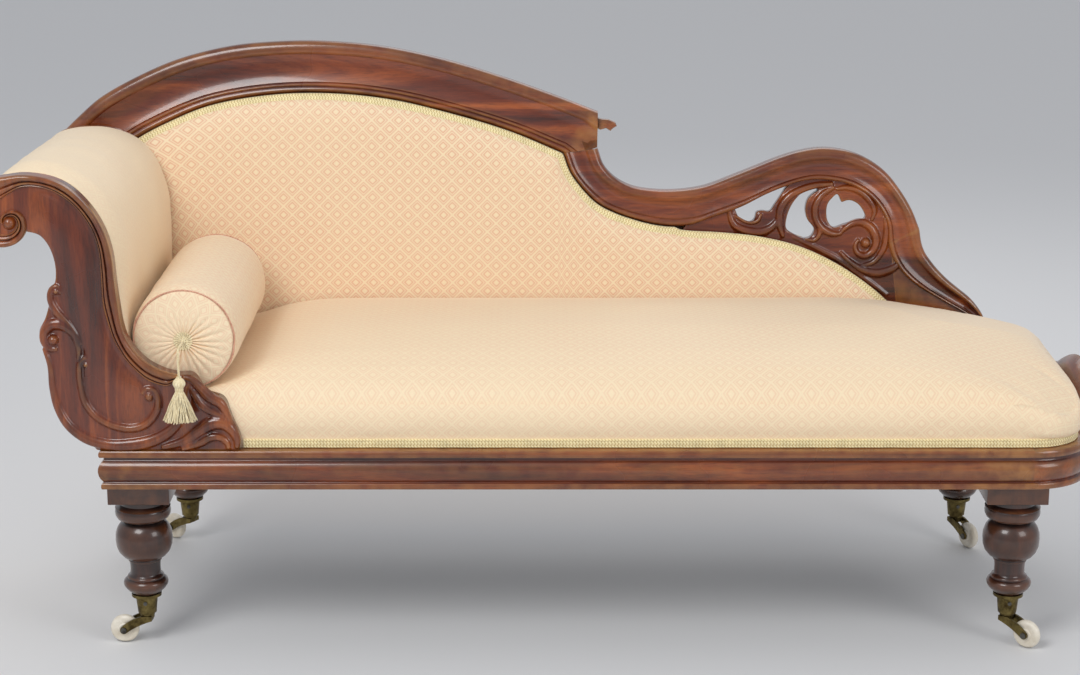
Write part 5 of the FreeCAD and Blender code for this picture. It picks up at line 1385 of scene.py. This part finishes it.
def bolsterBody():
    look = bolsterRoll
    x, z, front, rear = bolsterPlace()
    length = (rear - front) * 1000
    radius, half = look["radius"], look["end"]
    stations = half + [(radius, 36 + (length - 72) * i / 44, 0) for i in range(45)]
    stations += [(r, length - along, p) for r, along, p in half[::-1]]
    run = lengthsAlong([(r, along) for r, along, _ in stations])
    rings = []
    for k, (r, along, pleat) in enumerate(stations):
        ring = []
        for j in range(look["segments"]):
            turn = 2 * math.pi * j / look["segments"]
            side = -1 if along < length / 2 else 1
            wander = 0.5 * math.sin(3 * turn + 1) + 0.35 * math.sin(7 * turn + r / 30)
            fold = abs(math.sin(look["pleats"] / 2 * turn + wander)) ** 0.7 - 0.5
            heavy = 0.75 + 0.5 * math.cos(turn + 0.6)
            depth = 4.6 * pleat * heavy * fold * min(r / 16, 1)
            lump = noise.noise(Vector((math.cos(turn) * 1.6, math.sin(turn) * 1.6, along / 60))) * 1.5
            lump += 0.4 * noise.noise(Vector((math.cos(turn) * 6, math.sin(turn) * 6, along / 16)))
            reach = r + (lump if r > 70 else lump * 0.3) - (0.8 if r > 86 else 0)
            ring.append(ringPoint(x, front + (along + side * depth) / 1000, z, reach, turn))
        rings.append(ring)
    body = loft("bolsterRoll", rings)
    count = look["segments"]
    uv = body.data.uv_layers["run"].data
    for face in body.data.polygons:
        corners = [divmod(body.data.loops[i].vertex_index, count) for i in face.loop_indices]
        wraps = any(j == 0 for _, j in corners) and any(j == count - 1 for _, j in corners)
        for loopIndex, (i, j) in zip(face.loop_indices, corners):
            uv[loopIndex].uv = (((j or count) if wraps else j) / count * 2 * math.pi * 0.0823, run[i] / 1000)
    finished(body, bolsterCloth, ["bolster"], body="bolster", angle=80)
    seamCords(x, z, front, length)


def seamCords(x, z, front, length):
    look = seamCordLook
    for name, along, side in (("bolsterSeamFront", 0.4, -1), ("bolsterSeamRear", length - 0.4, 1)):
        rings = []
        for j in range(look["steps"] + 1):
            turn = 2 * math.pi * j / look["steps"]
            lump = noise.noise(Vector((math.cos(turn) * 4, math.sin(turn) * 4, 3.0)))
            reach = bolsterRoll["seam"] + look["proud"] + lump * 1.2
            thick = look["thickness"] + 0.3 * math.sin(turn * 90) + 0.35 * lump
            ring = []
            for k in range(8):
                way = 2 * math.pi * k / 8
                y = front + (along + side * 0.8 + thick * math.sin(way)) / 1000
                ring.append(ringPoint(x, y, z, reach + thick * math.cos(way), turn))
            rings.append(ring)
        cord = loft(name, rings, capped=False)
        faceOutwards(cord)
        finished(cord, seamCord, body="bolster", angle=80)


def threads(name, lines, radius, sides=2):  # many threads as one mesh
    curve = bpy.data.curves.new(name, "CURVE")
    curve.dimensions = "3D"
    curve.bevel_depth = radius
    curve.bevel_resolution = sides
    curve.use_fill_caps = True
    for line in lines:
        spline = curve.splines.new("POLY")
        spline.points.add(len(line) - 1)
        for point, co in zip(spline.points, line):
            point.co = (co[0], co[1], co[2], 1)
    obj = bpy.data.objects.new(name, curve)
    bpy.context.collection.objects.link(obj)
    pick(obj)
    bpy.ops.object.convert(target="MESH")
    return bpy.context.object


rosetteLook = {
    "loops": 20,
    "reach": (0.0035, 0.0115),
    "thread": 0.00125,
    "knots": 4,
    "knotThread": 0.0014,
    "core": (12.5, 3.4),
}


def rosettes():
    look = rosetteLook
    least, most = look["reach"]
    x, z, front, rear = bolsterPlace()
    for name, node, y, side in (("bolsterRosetteFront", "bolster_rosette_front", front - 0.008, -1),
                                ("bolsterRosetteRear", "bolster_rosette_rear", rear + 0.008, 1)):
        lines = []
        for i in range(look["loops"]):
            turn = 2 * math.pi * i / look["loops"]
            lines.append([])
            for k in range(15):
                t = k / 14
                reach = least + most * math.sin(math.pi * t) ** 0.8
                way = turn + (t - 0.5) * 0.34
                lift = 0.0026 * math.sin(math.pi * t) + 0.0018 * (1 - t)
                lines[-1].append((x + reach * math.cos(way), y + side * lift, z + reach * math.sin(way)))
        loops = threads(name, lines, look["thread"])
        for i in range(look["knots"]):
            knot = []
            lean = math.radians(45 * i)
            for k in range(25):
                turn = 2 * math.pi * k / 24
                across, out = 0.0052 * math.cos(turn), 0.0034 * math.sin(turn)
                knot.append((x + across * math.cos(lean), y + side * (0.0022 + out),
                             z + across * math.sin(lean)))
            loops = joined(name, loops, threads("knot", [knot], look["knotThread"]))
        core = dome("core", (x - headLegX) * 1000, (z - railTop) * 1000, *look["core"], y)
        finished(joined(name, loops, core), silk, [node], body="bolster", angle=70)


tasselLook = {
    "drop": 118,
    "skirt": 55,
    "strands": 190,
    "hem": (27, 19),  # half width along the couch and across it
    "neck": 4.4,
    "hang": -0.3233,
    "bend": 0.006,
    "head": [(3, 19), (5.4, 16.5), (8.2, 13.5), (9.6, 10), (9.8, 7), (8.4, 3.6), (6.4, 1.2), (5.4, -0.4), (5.6, -2.4),
             (6.4, -4.2)],  # radius, above the skirt
    "binding": (1.8, 0.4, -1.0, -2.4, 17.5, 18.9),
}


def tassel():
    x, z, front, _ = bolsterPlace()
    look = tasselLook
    hangY, bend = look["hang"], look["bend"]
    start = front - 0.0155
    path = [(x, start, z), (x, hangY + bend + 0.004, z)]
    path += [(x, hangY + bend - bend * math.sin(math.radians(a)), z - bend + bend * math.cos(math.radians(a)))
             for a in range(15, 91, 15)]
    hem = z - look["drop"] / 1000
    top = hem + look["skirt"] / 1000
    path += [(x, hangY, z - bend - 0.004 * i) for i in range(1, 10)] + [(x, hangY, top + 0.014)]
    total = lengthsAlong(path)
    path = evenly(path, 60)
    plies = []
    for ply in range(3):
        line = []
        for i, (px, py, pz) in enumerate(path):
            turn = i / 59 * total[-1] / 0.012 * 2 * math.pi + ply * 2 * math.pi / 3
            a, b = path[max(i - 1, 0)], path[min(i + 1, 59)]
            way = (Vector(b) - Vector(a)).normalized()
            side = Vector((1, 0, 0))
            other = way.cross(side)
            spot = Vector((px, py, pz)) + side * 0.00095 * math.cos(turn) + other * 0.00095 * math.sin(turn)
            line.append(tuple(spot))
        plies.append(line)
    cord = threads("cord", plies, 0.00105)
    rings = []
    for r, up in look["head"]:
        ring = []
        for j in range(56):
            turn = 2 * math.pi * j / 56
            rib = 1 + 0.05 * math.sin(turn * 14)
            ring.append(Vector((x + r * rib * math.cos(turn) / 1000, hangY + r * rib * math.sin(turn) / 1000,
                                top + up / 1000)))
        rings.append(ring)
    head = loft("head", rings)
    binding = []
    for up in look["binding"]:
        ring = []
        for k in range(33):
            turn = 2 * math.pi * k / 32
            r = 6.3 if up < 10 else 3.6
            ring.append((x + r * math.cos(turn) / 1000, hangY + r * math.sin(turn) / 1000, top + up / 1000))
        binding.append(ring)
    strands = []
    for i in range(look["strands"]):
        turn = 2 * math.pi * i / look["strands"] + random.uniform(-0.02, 0.02)
        inner = random.random() ** 0.5
        drop = random.uniform(0.93, 1.0) if random.random() < 0.9 else random.uniform(0.8, 0.95)
        strand = []
        for k in range(11):
            t = k / 10
            wave = 0.0006 * math.sin(t * 9 + i)
            wide = (look["neck"] + (look["hem"][0] - look["neck"]) * (t ** 0.9)) * (0.55 + 0.45 * inner)
            deep = (look["neck"] + (look["hem"][1] - look["neck"]) * (t ** 0.9)) * (0.55 + 0.45 * inner)
            strand.append((x + wide * math.cos(turn) / 1000 + wave, hangY + deep * math.sin(turn) / 1000 + wave,
                           top - 0.003 - (look["skirt"] - 3) / 1000 * t * drop))
        strands.append(strand)
    parts = [head, cord, threads("binding", binding, 0.0008), threads("skirt", strands, 0.00075, 1)]
    finished(joined("bolsterTassel", *parts), silk, ["bolster_tassel"], body="tassel", angle=60)


bolsterBody()
rosettes()
tassel()
print("bolster made")


# Carved crest on the foot rail

footCrest = {
    "arch": [(-160, 0), (-154, 26), (-106, 40), (-64, 62), (0, 78), (64, 62), (106, 40), (154, 26),
             (160, 0)],
    "section": [(1, 0), (18, 0), (19.5, 12), (21, 24), (23, 36), (28, 44), (36, 50), (45, 52), (53, 57),
                (56, 65), (53, 73), (46, 77.5), (38, 74), (26, 62), (15, 48), (8, 30), (3, 12)],  # out, up
    "flutes": 2.0,
}


def crest():
    low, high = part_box("foot_crest")
    middle = (low.y + high.y) / 2
    inner = footFace
    rings = []
    line = evenly(smooth(footCrest["arch"], 8), 141)
    for along, tall in line[1:-1]:
        scale = max(tall, 2) / 78
        ring = []
        for k, (out, up) in enumerate(footCrest["section"]):
            flute = footCrest["flutes"] * abs(math.sin(along / 11)) * min(scale * 1.5, 1) if 3 <= k <= 11 else 0
            lean = 18 + (out - 18) * scale if out > 18 else out
            ring.append(Vector((inner + (lean - flute) / 1000, middle + along / 1000,
                                railTop + up * scale / 1000)))
        rings.append(ring)
    finished(loft("footCrest", rings), woodDeep, ["foot_crest"], angle=35)


crest()
print("crest made")


# Stage, lamps and camera

studioLook = {
    "floor": (0.78, 0.78, 0.78, 1),
    "floorSize": 90,
    "sky": (0.93, 0.95, 1, 1),
    "skyStrength": 0.55,
    "aim": (0, 0, 0.45),
    "lamps": [("keyLamp", (-1.6, -2.6, 3.2), 1.7, 66), ("fillLamp", (2.6, -2.4, 2.0), 1.5, 26),
              ("rearLamp", (0.5, 2.2, 2.6), 2.0, 16)],  # place, size in metres, watts
}
cameraView = {
    "place": (-0.021, -3.928, 1.497),
    "tilt": 75.3,
    "lens": 78.27,
    "sensor": 36,
}


def studio():
    look = studioLook
    material, _, shader = newMaterial("paleFloor")
    shader.inputs["Base Color"].default_value = look["floor"]
    shader.inputs["Roughness"].default_value = 0.8
    bpy.ops.object.select_all(action="DESELECT")
    bpy.ops.mesh.primitive_plane_add(size=1, location=(0, 0, 0))
    floor = bpy.context.object
    floor.name = "floor"
    floor.scale = (look["floorSize"], look["floorSize"], 1)
    bpy.ops.object.transform_apply(location=True, rotation=True, scale=True)
    floor.data.materials.append(material)
    world = bpy.data.worlds.new("studio")
    bpy.context.scene.world = world
    world.use_nodes = True
    background = world.node_tree.nodes["Background"]
    background.inputs["Color"].default_value = look["sky"]
    background.inputs["Strength"].default_value = look["skyStrength"]
    for name, place, size, power in look["lamps"]:
        bpy.ops.object.light_add(type="AREA", location=place)
        lamp = bpy.context.object
        lamp.name = name
        lamp.data.size = size
        lamp.data.energy = power
        lamp.rotation_euler = (Vector(look["aim"]) - Vector(place)).to_track_quat("-Z", "Y").to_euler()


def photoCamera():
    look = cameraView
    bpy.ops.object.camera_add(location=look["place"], rotation=(math.radians(look["tilt"]), 0, 0))
    camera = bpy.context.object
    camera.data.lens = look["lens"]
    camera.data.sensor_width = look["sensor"]
    bpy.context.scene.camera = camera


studio()
photoCamera()
bpy.context.scene.view_settings.view_transform = "Standard"

plain = {
    "beech": beechWood, "brass": brass, "steel": steel, "ceramic": ceramic, "mahogany": woodAlong,
    "dark_mahogany": legWood, "damask": flatCloth, "gimp": braid, "tassel_silk": silk, "webbing": webCloth,
    "hessian": hessianCloth, "lining": liningCloth,
}
for part in frame["record"]["subparts"]:
    node = frame["nodes"][part["node"]]
    node.data.materials.clear()
    node.data.materials.append(plain[part["material_slot"]])
print("frame nodes dressed")
